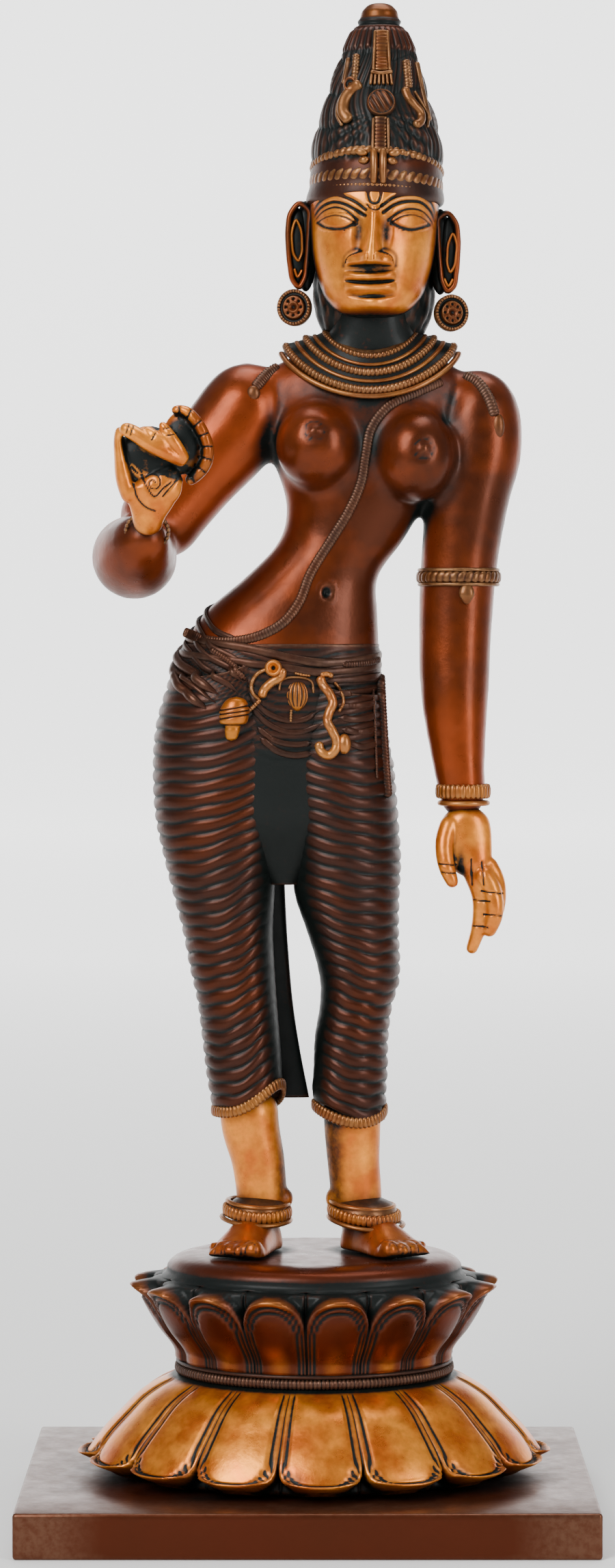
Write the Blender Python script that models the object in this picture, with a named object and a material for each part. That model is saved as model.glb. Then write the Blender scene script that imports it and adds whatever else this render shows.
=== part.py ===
"""Standing goddess in cast brass, on a double lotus pedestal and a rectangular plinth.

Metres, +Z up. The origin is the middle of the plinth's underside, and the figure faces -Y.
The free form of the figure is carved in units of one millimetre at its nominal height, so it
scales with FIGURE_HEIGHT and stands on the pedestal's top whatever the sizes are.
"""

import math

import bmesh
import bpy
import numpy as np
from mathutils import Matrix, Vector

# Driving dimensions, in metres
PLINTH_WIDTH = 0.190
PLINTH_DEPTH = 0.153
PLINTH_THICKNESS = 0.0151
PLINTH_EDGE = 0.0007
LOTUS_WIDTH = 0.156
LOTUS_DEPTH = 0.130
LOTUS_HEIGHT = 0.0735
LOTUS_SIDE_OFFSET = 0.0023
FIGURE_HEIGHT = 0.4195
FIGURE_SETBACK = 0.002
SEAT_GAP = 0.0003
PETALS = 16
PETAL_STEPS = 6

# Carving unit of the figure: 1 mm when FIGURE_HEIGHT is 419.5 mm
NOMINAL_UNITS = 419.5
UNIT = FIGURE_HEIGHT / NOMINAL_UNITS
PEDESTAL_BOTTOM = PLINTH_THICKNESS + SEAT_GAP
PEDESTAL_TOP = PEDESTAL_BOTTOM + LOTUS_HEIGHT
SOLE_LEVEL = PEDESTAL_TOP + SEAT_GAP

# Share of the triangles kept after the forms are joined
KEPT_SHARE = 0.6

# Skirt pleats, in carving units
PLEAT_PITCH = 4.4
PLEAT_DEPTH = 1.1
LEG_SIDES = 12

# Outline of the lotus: height share, radius share, and how deep the valleys between petals cut
LOTUS_PROFILE = [
    (0.0, 0.930, 0.10),
    (0.035, 1.000, 0.13),
    (0.100, 0.975, 0.08),
    (0.180, 0.910, 0.055),
    (0.265, 0.825, 0.045),
    (0.360, 0.735, 0.040),
    (0.450, 0.600, 0.020),
    (0.505, 0.578, 0.0),
    (0.565, 0.585, 0.0),
    (0.670, 0.664, 0.040),
    (0.790, 0.728, 0.080),
    (0.865, 0.757, 0.110),
    (0.900, 0.737, 0.120),
    (0.915, 0.640, 0.0),
    (0.950, 0.628, 0.0),
    (1.0, 0.540, 0.0),
]

# Each row: height above the soles, middle across, middle front to back, half width, half depth
TORSO = [
    (198, -9.8, 1.5, 34.5, 20.5),
    (206, -8.4, 1, 32.6, 19.3),
    (216, -5.3, 0.5, 29, 17.5),
    (227.5, 1.4, 0, 22.4, 15),
    (239.5, 11.2, 0, 21.0, 14),
    (251.5, 16, 0, 23.2, 15),
    (263.4, 17.5, 0.5, 28, 16),
    (275, 17.5, 1, 31, 17),
    (287, 18, 1.5, 34.5, 16.5),
    (295, 18.5, 2, 35, 14),
    (301, 19.5, 2, 26, 12.5),
    (306, 21, 1, 17, 12),
    (311, 21.8, 0, 14, 12),
    (323, 22, 0, 13.5, 12),
]
HIPS = [
    (124, -8, 2, 7, 8),
    (134, -9, 2, 18, 13),
    (146, -11, 2, 32, 18.5),
    (160, -12, 2, 36.5, 20.6),
    (174, -11.9, 2, 37.4, 21.8),
    (186, -11.6, 2, 36.2, 22),
    (196, -10.2, 1.5, 34.8, 21.2),
    (205, -8.8, 1, 33, 19.8),
]
RIGHT_LEG = [
    (47, -20.0, 3, 11.6, 12.5),
    (60, -21.1, 3, 12.7, 14),
    (72, -22.2, 3, 13, 14.6),
    (84, -23.5, 3, 13.3, 15.2),
    (96, -25.2, 2.5, 14.2, 16),
    (108, -26.6, 2, 15.1, 17),
    (120, -27.9, 2, 16.9, 18.3),
    (132, -29, 2, 18.8, 19.5),
    (144, -29.5, 2, 21, 21),
    (160, -28.5, 2, 23.2, 22.4),
    (178, -27, 2, 23.6, 23.2),
    (194, -24.6, 2, 21.4, 22),
]
LEFT_LEG = [
    (44, 15.0, 3, 11.2, 12.5),
    (54, 13.8, 3, 12.4, 13.5),
    (60, 14.2, 3, 12.4, 14),
    (72, 14.6, 3, 12.3, 14.6),
    (84, 16.3, 2.5, 12.2, 15),
    (90, 17.3, 2, 13.1, 15.5),
    (96, 17, 1.5, 13.8, 16),
    (108, 15, 1.5, 15.4, 17),
    (120, 13.1, 2, 17.5, 18),
    (132, 12.8, 2, 18.3, 19),
    (144, 11.6, 2, 18.8, 20.4),
    (160, 9.5, 2, 19.6, 22),
    (178, 9, 2, 17.9, 22.6),
    (188, 8.8, 2, 16.6, 21),
]
HEAD = [
    (314.2, 21.6, -11, 4, 4.5),
    (317, 21.6, -9.5, 10, 10.5),
    (321, 21.8, -7, 14.8, 15.5),
    (327, 22, -5, 18.4, 19),
    (335, 22, -3.5, 20.6, 21.5),
    (345, 22.2, -2.5, 21.4, 23),
    (356, 22.5, -2, 21.6, 23.4),
]
CROWN = [
    (351, 22.6, 0, 21.6, 23.0),
    (359, 23, 0, 22.4, 24.2),
    (368, 23.4, 0, 22.0, 23.6),
    (377, 23.5, 0, 20.4, 21.6),
    (386, 23.4, 0, 17.6, 18.2),
    (395, 23.6, 0, 14.5, 15),
    (404.6, 24, 0, 10.6, 10.8),
    (405, 24, 0, 11.6, 11.8),
    (410.6, 24, 0, 8.8, 8.8),
    (411, 24, 0, 7.0, 7.0),
    (414.6, 24.1, 0, 6.6, 6.6),
    (415, 24.1, 0, 7.4, 7.4),
    (418.4, 24.2, 0, 4.6, 4.6),
    (419.5, 24.2, 0, 1.2, 1.2),
]

# Limbs and cords: across, front to back, height, radius
LEFT_ARM = [
    (50, 2, 293, 11.2),
    (56, 2, 284.6, 14.2),
    (57.5, 1, 271, 14.8),
    (54.6, 0, 257.5, 14.2),
    (51.2, 0, 233.5, 13.1),
    (49.8, -1, 210, 12.4),
    (49.6, -3, 186, 11.4),
    (50.6, -4.5, 168, 9.3),
    (52.2, -5.5, 152, 7.7),
]
LEFT_HAND = [
    [(52.6, -5.5, 152, 7.4), (53.0, -7, 143, 8.8), (54.5, -9, 133, 7.2), (56.0, -10, 126, 5.4)],
    [(57.4, -11, 130, 4.6), (62.2, -13, 121.3, 4.7), (62.4, -13, 114.5, 4.5), (59.0, -11, 107.4, 3.6)],
    [(55, -6, 131, 4.2), (58.3, -8, 118, 3.8), (56.9, -8, 111, 3.6), (54.0, -8, 101.2, 3.0)],
    [(48.6, -9, 147, 4.2), (45.6, -13, 137.3, 4.0), (46.9, -14, 130.4, 3.7), (48.9, -15, 124.0, 2.4)],
]
RIGHT_ARM = [
    (-8, 2, 294, 11.6),
    (-18, 2, 286, 15.6),
    (-27, 1, 274.6, 16.0),
    (-38.2, -1, 261.0, 14.4),
    (-50.0, -4, 246.0, 14.1),
    (-57.8, -10, 233.4, 15.3),
    (-57.4, -22, 234.4, 13.8),
    (-54.8, -34, 238.0, 10.8),
    (-52.3, -44, 242, 8.0),
]
RIGHT_HAND = [
    [(-52.3, -43, 243, 7.2), (-51.4, -48, 250, 8.4), (-51, -50, 259, 10.0), (-50, -50, 265, 8.6)],
    [(-56, -49, 256, 5.4), (-58.4, -51, 265, 4.8), (-59.0, -52, 272, 3.0)],
    [(-39, -54, 263.2, 3.0), (-48, -58, 269.5, 3.2), (-58, -58, 276.2, 2.9)],
    [(-39.4, -56, 266, 2.6), (-44, -59, 271.6, 2.7), (-48.2, -59, 277.2, 2.2)],
    [(-40, -47, 258, 4.6), (-33.5, -48, 265.5, 4.6), (-34.2, -49, 274.6, 4.4), (-40.6, -50, 279.6, 3.8)],
]
RIGHT_SHIN = [
    (-20.0, 3, 54, 10.2),
    (-19.4, 3, 42, 9.9),
    (-16.8, 3.5, 30, 9.1),
    (-15.7, 4, 20, 8.7),
    (-15.6, 4, 8, 9),
]
LEFT_SHIN = [
    (15.0, 3, 54, 10.2),
    (15.3, 3, 38, 9.6),
    (15.6, 3.5, 30, 9.0),
    (16.4, 4, 20, 8.8),
    (16.8, 4, 8, 9.2),
]
DRAPES = [
    [(-38.6, -7, 207, 2.4), (-31, -17.5, 197, 2.7), (-19.3, -20.5, 186.6, 2.5)],
    [(-42, -6, 197.6, 1.9), (-36, -16.5, 191.4, 2.1), (-26, -21, 181.6, 1.9)],
    [(-24, -21.4, 184.6, 2.2), (-24.2, -22, 179, 4.6), (-24.4, -22, 174.4, 5.2)],
    [(-11.4, -18.4, 198.3, 2.0), (-15.0, -20, 192, 2.1), (-15.6, -20.4, 186.6, 1.6)],
    [(5, -18, 193.3, 1.6), (8.6, -19.4, 185.8, 1.9), (6.6, -20, 180.4, 1.8), (8.6, -20.4, 167, 1.7)],
    [(22.4, -8.6, 199, 2.4), (23.6, -8.8, 180, 2.7), (25.0, -9, 162, 2.7), (25.2, -9.6, 149, 2.4)],
]

# Rings of jewellery: middle across, middle front to back, section corners as
# (height, half width, half depth), drop at the front, fall towards the viewer's right, sides
COLLAR = (21, 1, [(304.2, 11, 10), (302.6, 28.6, 15.4), (304.8, 30.4, 17.6), (310.4, 15.6, 14.4)], 16.5, 0, 20)
DIADEM = (23, 0, [(361, 17, 19), (357.2, 23.0, 25.4), (364.8, 23.2, 25.6)], -3.6, 0.8, 16)
GIRDLE = (-6.2, 1.0, [(206, 24, 14), (203.4, 31.8, 21.0), (207.8, 31.4, 20.8)], 1, 8.6, 18)
ARMLET = (50.9, -0.5, [(226.8, 9, 9), (223.8, 14.2, 14.2), (229.4, 14.4, 14.4)], 0, 0, 12)
BRACELET = (52.5, -5.4, [(155.4, 5, 5), (152.6, 8.9, 8.9), (158.2, 9.1, 9.1)], 0, 0, 10)
RIGHT_ANKLET = (-16.6, 2.4, [(13, 5, 5), (9.6, 13.0, 12.4), (15, 10.8, 10.6)], 1, 0, 12)
LEFT_ANKLET = (19.0, 2.4, [(13, 5, 5), (9.0, 13.6, 12.6), (14.4, 11.8, 11.0)], 1, 0, 12)
RIGHT_HEM = (-19.6, 3, [(48, 5, 5), (45.6, 12.4, 13.4), (50.0, 12.6, 13.6)], 0, -1.4, 12)
LEFT_HEM = (15.2, 3, [(46, 5, 5), (43.0, 11.8, 13.2), (47.6, 12.0, 13.4)], 5.0, 0, 12)
RINGS = [COLLAR, DIADEM, GIRDLE, ARMLET, BRACELET, RIGHT_ANKLET, LEFT_ANKLET, RIGHT_HEM, LEFT_HEM]

# Rounded ornaments and features: across, front to back, height, three radii
KNOBS = [
    (22.4, 5.5, 324, 20.8, 16.5, 26),
    (3.2, -12.5, 271.3, 14, 14, 14.6),
    (36.1, -12.5, 267.9, 13.2, 14, 15.6),
    (-1.8, -1.2, 337.6, 5.8, 3.6, 18.4),
    (46.2, -1.2, 335.0, 5.4, 3.6, 17.0),
    (-4.2, -2.4, 317.2, 5.7, 3.0, 6.2),
    (48.0, -2.4, 315.4, 5.8, 3.0, 6.4),
    (24.4, -18.4, 383.5, 5.0, 3.0, 5.0),
    (23.6, -24.6, 364.8, 2.8, 2.8, 3.4),
    (12.8, -13.0, 384.6, 2.6, 3.0, 6.6),
    (34.8, -13.0, 384.2, 2.6, 3.0, 6.6),
    (24.7, -11.0, 401.6, 3.2, 3.4, 7.8),
    (-3.6, -19.4, 187.5, 6.0, 3.6, 6.0),
    (12.0, -18.6, 171.8, 3.6, 3.4, 3.6),
    (21.6, -23.4, 324.0, 6.6, 2.8, 4.4),
    (9.6, -19.6, 343.6, 6.6, 3.4, 3.2),
    (33.8, -19.6, 343.6, 6.6, 3.4, 3.2),
]
NOSE = [
    (328.6, 21.0, -24.6, 5.0, 3.4),
    (331.4, 21.0, -25.4, 5.2, 5.2),
    (339, 21.4, -24.6, 2.6, 4.2),
    (350, 21.8, -24.0, 1.8, 2.0),
]
REAR_PANEL = [
    (50.6, -12, 10.5, 12.2, 2.0),
    (66, -13.4, 10.8, 10.8, 2.2),
    (80, -15, 11, 10.2, 2.6),
    (102, -16, 10.5, 9.2, 3),
    (130, -17, 9, 9.0, 4),
]


def at_height(table, height):
    """Smooth values of a station table at one height."""
    rows = np.array(table, float)
    heights = rows[:, 0]
    height = min(max(height, heights[0]), heights[-1])
    k = min(int(np.searchsorted(heights, height, side="right")) - 1, len(rows) - 2)
    slopes = np.gradient(rows[:, 1:], heights, axis=0)
    span = heights[k + 1] - heights[k]
    t = (height - heights[k]) / span
    return (
        (2 * t**3 - 3 * t**2 + 1) * rows[k, 1:]
        + (t**3 - 2 * t**2 + t) * span * slopes[k]
        + (3 * t**2 - 2 * t**3) * rows[k + 1, 1:]
        + (t**3 - t**2) * span * slopes[k + 1]
    )


def place(x, y, z):
    """A point of the carving in metres, above the pedestal."""
    return Vector((x * UNIT, FIGURE_SETBACK + y * UNIT, SOLE_LEVEL + z * UNIT))


def circle_angles(sides):
    return [2 * math.pi * i / sides for i in range(sides)]


def as_object(name, bm):
    """The object made of a finished bmesh, with its faces pointing out."""
    bmesh.ops.recalc_face_normals(bm, faces=bm.faces)
    mesh = bpy.data.meshes.new(name)
    bm.to_mesh(mesh)
    bm.free()
    return bpy.data.objects.new(name, mesh)


def bridge(bm, low, high):
    """Quads between two rows of vertices that run round in step."""
    for i in range(len(low)):
        j = (i + 1) % len(low)
        bm.faces.new((low[i], low[j], high[j], high[i]))


def loft(name, rings):
    """A closed solid through rings of equal length, with a fan over each end."""
    bm = bmesh.new()
    rows = [[bm.verts.new(point) for point in ring] for ring in rings]
    for low, high in zip(rows, rows[1:]):
        bridge(bm, low, high)
    for ring in (rows[0], rows[-1]):
        tip = bm.verts.new(sum((v.co for v in ring), Vector()) / len(ring))
        for i in range(len(ring)):
            bm.faces.new((ring[i], ring[(i + 1) % len(ring)], tip))
    return as_object(name, bm)


def oval(height, middle_x, middle_y, half_width, half_depth, sides):
    return [
        place(middle_x + half_width * math.cos(a), middle_y + half_depth * math.sin(a), height)
        for a in circle_angles(sides)
    ]


def trunk(name, table, rows, sides):
    """A form with level rings, evenly spaced through a station table."""
    low, high = table[0][0], table[-1][0]
    heights = [low + (high - low) * i / (rows - 1) for i in range(rows)]
    return loft(name, [oval(h, *at_height(table, h), sides) for h in heights])


def tiered(name, table, sides):
    """A form with one level ring at each row of its table."""
    return loft(name, [oval(*row, sides) for row in table])


def limb(name, path, sides):
    """A round form along its path, with blunt ends."""
    centres = [Vector(p[:3]) for p in path]
    radii = [p[3] for p in path]
    last = len(path) - 1
    tangents = [(centres[min(i + 1, last)] - centres[max(i - 1, 0)]).normalized() for i in range(last + 1)]
    stations = [(centres[0] - tangents[0] * radii[0] * 0.5, tangents[0], radii[0] * 0.6)]
    stations += zip(centres, tangents, radii)
    stations += [(centres[-1] + tangents[-1] * radii[-1] * 0.5, tangents[-1], radii[-1] * 0.6)]
    side = tangents[0].orthogonal().normalized()
    rings = []
    for centre, tangent, radius in stations:
        side = (side - tangent * side.dot(tangent)).normalized()
        other = tangent.cross(side)
        offsets = [side * math.cos(a) + other * math.sin(a) for a in circle_angles(sides)]
        rings.append([place(*(centre + offset * radius)) for offset in offsets])
    return loft(name, rings)


def knob(name, x, y, z, radius_x, radius_y, radius_z):
    """A rounded ornament: an egg whose radii may differ."""
    bm = bmesh.new()
    fine = min(radius_x, radius_z) > 10
    bmesh.ops.create_uvsphere(bm, u_segments=12 if fine else 8, v_segments=8 if fine else 4, radius=UNIT)
    stretch = Matrix.Diagonal((radius_x, radius_y, radius_z, 1))
    bmesh.ops.transform(bm, matrix=Matrix.Translation(place(x, y, z)) @ stretch, verts=bm.verts)
    return as_object(name, bm)


def hoop(name, middle_x, middle_y, section, front_drop, side_fall, sides):
    """A band that goes right round, draped lower at the front."""
    bm = bmesh.new()
    rows = []
    for height, half_width, half_depth in section:
        row = []
        for a in circle_angles(sides):
            z = height - front_drop * max(0, -math.sin(a)) ** 1.5 - side_fall * math.cos(a)
            x = middle_x + half_width * math.cos(a)
            row.append(bm.verts.new(place(x, middle_y + half_depth * math.sin(a), z)))
        rows.append(row)
    for low, high in zip(rows, rows[1:] + rows[:1]):
        bridge(bm, low, high)
    return as_object(name, bm)


def pleated_leg(name, table, inner_side, climb):
    """A leg wrapped in raised pleats, whose lines climb at the front towards the other leg."""
    low, high = table[0][0], table[-1][0]
    rows = 2 * round((high - low) / PLEAT_PITCH)
    rings = []
    for row in range(rows + 1):
        height = low + (high - low) * row / rows
        ridge = PLEAT_DEPTH / 2 if row % 2 else -PLEAT_DEPTH / 2
        ring = []
        for a in circle_angles(LEG_SIDES):
            towards = (1 + inner_side * math.cos(a)) / 2
            front = (1 - math.sin(a)) / 2
            z = height + climb * towards**2 * front
            x, y, half_width, half_depth = at_height(table, z)
            swell = ridge * (1 - 0.8 * towards**4)
            x += (half_width + swell) * math.cos(a)
            y += (half_depth + swell) * math.sin(a)
            ring.append(place(x, y, z))
        rings.append(ring)
    return loft(name, rings)


def foot(name, heel, toes, sides=8):
    """A foot with a flat sole, from its heel to its toes."""
    along = Vector((toes[0] - heel[0], toes[1] - heel[1], 0))
    across = Vector((-along.y, along.x, 0)).normalized()
    stations = [
        (-0.12, 3.5, 6),
        (0.02, 7.6, 13),
        (0.3, 8.6, 14),
        (0.55, 9.0, 11),
        (0.8, 10.0, 7.5),
        (1.0, 9.6, 4.6),
        (1.1, 6.6, 3.4),
    ]
    rings = []
    for share, half_width, height in stations:
        centre = Vector((*heel, 0)) + along * share
        ring = []
        for a in circle_angles(sides):
            offset = centre + across * half_width * math.cos(a)
            ring.append(place(offset.x, offset.y, max(0, height * math.sin(a))))
        rings.append(ring)
    return loft(name, rings)


def figure_forms():
    """Everything that is joined to the torso."""
    forms = [
        trunk("hips", HIPS, 8, 16),
        pleated_leg("right_leg", RIGHT_LEG, 1, 12),
        pleated_leg("left_leg", LEFT_LEG, -1, 9),
        limb("right_shin", RIGHT_SHIN, 10),
        limb("left_shin", LEFT_SHIN, 10),
        trunk("head", HEAD, 9, 16),
        tiered("crown", CROWN, 16),
        tiered("nose", NOSE, 6),
        tiered("rear_panel", REAR_PANEL, 8),
        limb("left_arm", LEFT_ARM, 10),
        limb("right_arm", RIGHT_ARM, 10),
    ]
    forms.append(foot("right_foot", (-15.5, 5), (-25, -24)))
    forms.append(foot("left_foot", (17, 5), (34, -22)))
    forms += [limb(f"left_hand_{i}", path, 6) for i, path in enumerate(LEFT_HAND)]
    forms += [limb(f"right_hand_{i}", path, 6) for i, path in enumerate(RIGHT_HAND)]
    forms += [limb(f"drape_{i}", path, 5) for i, path in enumerate(DRAPES)]
    forms += [knob(f"knob_{i}", *numbers) for i, numbers in enumerate(KNOBS)]
    forms += [hoop(f"ring_{i}", *ring) for i, ring in enumerate(RINGS)]
    return forms


def lotus_pedestal():
    """The double lotus: sixteen petals hang over the plinth and sixteen rise to the disc."""
    steps = PETALS * PETAL_STEPS
    rings = []
    for height_share, radius_share, valley in LOTUS_PROFILE:
        ring = []
        for i in range(steps):
            from_middle = abs(2 * ((i / PETAL_STEPS + 0.5) % 1) - 1)
            radius = radius_share * (1 - valley * from_middle**3)
            a = 2 * math.pi * i / steps - math.pi / 2
            ring.append(
                Vector((
                    LOTUS_SIDE_OFFSET + LOTUS_WIDTH / 2 * radius * math.cos(a),
                    LOTUS_DEPTH / 2 * radius * math.sin(a),
                    PEDESTAL_BOTTOM + LOTUS_HEIGHT * height_share,
                ))
            )
        rings.append(ring)
    return loft("lotus_pedestal", rings)


def plinth():
    """The slab that everything stands on."""
    bm = bmesh.new()
    bmesh.ops.create_cube(bm, size=1)
    stretch = Matrix.Diagonal((PLINTH_WIDTH, PLINTH_DEPTH, PLINTH_THICKNESS, 1))
    lift = Matrix.Translation((0, 0, PLINTH_THICKNESS / 2))
    bmesh.ops.transform(bm, matrix=lift @ stretch, verts=bm.verts)
    bmesh.ops.bevel(bm, geom=bm.edges[:], offset=PLINTH_EDGE, segments=1, affect="EDGES")
    return as_object("plinth", bm)


def brass(name, colour, roughness):
    """A cast metal of one colour, in linear values."""
    material = bpy.data.materials.new(name)
    material.use_nodes = True
    shader = material.node_tree.nodes["Principled BSDF"]
    shader.inputs["Base Color"].default_value = (*colour, 1)
    shader.inputs["Metallic"].default_value = 0.85
    shader.inputs["Roughness"].default_value = roughness
    return material


def main():
    for obj in list(bpy.data.objects):
        bpy.data.objects.remove(obj)
    statue = bpy.data.collections.new("goddess_statue")
    carving = bpy.data.collections.new("carving_forms")
    for collection in (statue, carving):
        bpy.context.scene.collection.children.link(collection)
    carving.hide_render = True

    figure = trunk("figure", TORSO, 16, 20)
    for form in figure_forms():
        form.hide_render = True
        form.display_type = "WIRE"
        carving.objects.link(form)
    union = figure.modifiers.new("carved_as_one", "BOOLEAN")
    union.operation = "UNION"
    union.operand_type = "COLLECTION"
    union.collection = carving
    union.solver = "EXACT"
    thin = figure.modifiers.new("thinned", "DECIMATE")
    thin.ratio = KEPT_SHARE

    pedestal = lotus_pedestal()
    slab = plinth()
    figure.data.materials.append(brass("copper_brown_brass", (0.30, 0.10, 0.05), 0.38))
    pedestal.data.materials.append(brass("golden_brass", (0.50, 0.26, 0.08), 0.36))
    slab.data.materials.append(brass("dark_brown_brass", (0.20, 0.10, 0.06), 0.42))
    for piece in (figure, pedestal):
        piece.data.shade_smooth()
    for piece in (figure, pedestal, slab):
        statue.objects.link(piece)


main()
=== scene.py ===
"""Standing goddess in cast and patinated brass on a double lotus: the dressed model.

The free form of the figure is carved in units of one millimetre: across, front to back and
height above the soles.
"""

import math

import bmesh
import bpy
import numpy as np
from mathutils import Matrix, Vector
from mathutils.bvhtree import BVHTree


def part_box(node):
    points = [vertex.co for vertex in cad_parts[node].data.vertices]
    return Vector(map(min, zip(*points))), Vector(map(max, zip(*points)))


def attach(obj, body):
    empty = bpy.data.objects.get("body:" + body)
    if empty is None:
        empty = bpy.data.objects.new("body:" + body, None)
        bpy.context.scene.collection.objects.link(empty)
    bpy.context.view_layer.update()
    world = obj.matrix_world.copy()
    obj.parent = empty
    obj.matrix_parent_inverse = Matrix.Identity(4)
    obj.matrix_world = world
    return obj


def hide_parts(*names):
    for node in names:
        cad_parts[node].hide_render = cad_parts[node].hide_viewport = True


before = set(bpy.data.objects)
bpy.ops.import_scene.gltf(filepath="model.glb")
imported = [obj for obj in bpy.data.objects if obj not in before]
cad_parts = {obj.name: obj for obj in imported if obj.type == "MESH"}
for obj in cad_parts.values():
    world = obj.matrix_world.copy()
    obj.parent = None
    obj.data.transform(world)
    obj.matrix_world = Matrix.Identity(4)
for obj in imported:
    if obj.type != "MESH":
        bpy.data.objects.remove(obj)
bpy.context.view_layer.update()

bl_info = {
    "name": "Brass Goddess on a Lotus",
    "version": (1, 0, 0),
    "blender": (4, 5, 0),
    "location": "3D View > Sidebar > Goddess",
    "description": "Carves and patinates a standing brass goddess on her lotus and plinth",
    "category": "Object",
}

FIGURE_LOW, FIGURE_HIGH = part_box("figure")
LOTUS_LOW, LOTUS_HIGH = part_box("lotus_pedestal")
PLINTH_LOW, PLINTH_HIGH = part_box("plinth")
UNIT = (FIGURE_HIGH[2] - FIGURE_LOW[2]) / 419.5
SOLE_LEVEL = FIGURE_LOW[2]
FIGURE_SETBACK = 0.002
HIP_AXIS = (-8, 2)
# Round the hips: a turn of one radian counts as this many units of height, and rays start this
# far out, inside the hanging arm, and reach this far when they meet nothing
TURN_LENGTH, RAY_START, RAY_REACH = 34, 43, 12
# Vertices this close are one, and an edge this short goes, in metres
WELD, FLAT_EDGE = 2e-6, 1e-7
# Metres: the slab's rounded edge, the span a surface is smoothed over to find its ridges, the
# depth of a full ridge or groove, and the cells in which shut-in places are counted
EDGE_ROUND, SMOOTH_SPAN, GROOVE_DEPTH, HOLLOW_CELL = 0.0011, 0.0011, 0.00028, 0.0016
# Metres: the paper's width and length, how far it comes forward, where it bends up and how widely
PAPER_WIDTH, PAPER_LENGTH, PAPER_AHEAD, PAPER_FAR, PAPER_BEND = 16.0, 14.0, 5.5, 5.0, 1.0
# The camera that the plinth's edges give: lens and sensor in millimetres, place in metres, tilt down
LENS, SENSOR_HEIGHT, CAMERA_PLACE, CAMERA_TILT = 99.51, 36, (0, -1.4595, 0.3006), 0.0367

# Height, middle across, middle front to back, half width, half depth
TORSO = [
    (186, -10.4, 2, 33.0, 20),
    (198, -9.8, 1.5, 34.0, 20.2),
    (206, -8.4, 1, 32.6, 19.3),
    (216, -5.3, 0.5, 29, 17.5),
    (227.5, 1.4, 0, 22.4, 15),
    (239.5, 11.2, 0, 21.0, 14),
    (251.5, 16, 0, 23.2, 15),
    (263.4, 17.5, 0.5, 28, 16),
    (275, 17.5, 1, 31, 17),
    (287, 18, 1.5, 34.5, 16.5),
    (295, 18.5, 2, 35, 14),
    (301, 19.5, 2, 26, 12.5),
    (306, 21, 1, 17, 12),
    (311, 21.8, 0, 14, 12),
    (323, 22, 0, 13.5, 12),
]
HIPS = [
    (124, -8, 2, 7, 8),
    (134, -9, 2, 18, 13),
    (146, -11, 2, 32, 18.5),
    (160, -12, 2, 36.5, 20.6),
    (174, -11.9, 2, 37.4, 21.8),
    (186, -11.6, 2, 36.2, 22),
    (196, -10.2, 1.5, 34.8, 21.2),
    (205, -8.8, 1, 33, 19.8),
]
RIGHT_LEG = [
    (47, -20.0, 3, 11.6, 12.5),
    (60, -21.1, 3, 12.7, 14),
    (72, -22.2, 3, 13, 14.6),
    (84, -23.5, 3, 13.3, 15.2),
    (96, -25.2, 2.5, 14.2, 16),
    (108, -26.6, 2, 15.1, 17),
    (120, -27.9, 2, 16.9, 18.3),
    (132, -29, 2, 18.8, 19.5),
    (144, -29.5, 2, 21, 21),
    (160, -28.5, 2, 23.2, 22.4),
    (178, -27, 2, 23.6, 23.2),
    (194, -24.6, 2, 21.4, 22),
]
LEFT_LEG = [
    (44, 15.0, 3, 11.2, 12.5),
    (54, 13.8, 3, 12.4, 13.5),
    (60, 14.2, 3, 12.4, 14),
    (72, 14.6, 3, 12.3, 14.6),
    (84, 16.3, 2.5, 12.2, 15),
    (90, 17.3, 2, 13.1, 15.5),
    (96, 17, 1.5, 13.8, 16),
    (108, 15, 1.5, 15.4, 17),
    (120, 13.1, 2, 17.5, 18),
    (132, 12.8, 2, 18.3, 19),
    (144, 11.6, 2, 18.8, 20.4),
    (160, 9.5, 2, 19.6, 22),
    (178, 9, 2, 17.9, 22.6),
    (188, 8.8, 2, 16.6, 21),
]
# Share up the head: middle across, middle front to back, half width, half depth, height
HEAD = [
    (0, 21.8, -8, 0.01, 0.01, 313.6),
    (0.06, 21.8, -9, 6, 7, 313.9),
    (0.12, 21.8, -9, 11, 12, 315.6),
    (0.20, 21.9, -7.5, 15.2, 15.9, 319.5),
    (0.32, 22, -5.5, 18.2, 18.8, 326),
    (0.48, 22.1, -3.8, 20.4, 21.3, 335),
    (0.64, 22.3, -2.6, 21.3, 22.9, 345),
    (0.80, 22.5, -2, 21.5, 22.8, 355),
    (0.88, 22.7, -1, 20.4, 21.6, 359.5),
    (1, 23, -1, 17, 18, 366),
]
CROWN = [
    (0, 22.6, 0, 18.0, 19.0, 351),
    (0.02, 22.6, 0, 21.4, 22.6, 351.4),
    (0.1, 23, -0.4, 22.2, 24.4, 359),
    (0.22, 23.4, 0, 21.8, 23.4, 368),
    (0.33, 23.5, 0, 20.2, 21.4, 377),
    (0.44, 23.4, 0, 17.4, 18.0, 386),
    (0.55, 23.6, 0, 14.6, 15, 395),
    (0.66, 24, 0, 12.0, 12.2, 403),
    (0.72, 24, 0, 10.2, 10.4, 407.4),
    (0.77, 24, 0, 8.6, 8.6, 410.6),
    (0.79, 24, 0, 8.2, 8.2, 411.4),
    (0.80, 24, 0, 7.2, 7.2, 411.8),
    (0.83, 24.1, 0, 7.3, 7.3, 413.4),
    (0.85, 24.1, 0, 6.7, 6.7, 414.2),
    (0.92, 24.2, 0, 5.6, 5.6, 417.2),
    (0.97, 24.2, 0, 3.0, 3.0, 419.2),
    (1, 24.2, 0, 0.01, 0.01, 419.6),
]

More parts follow.
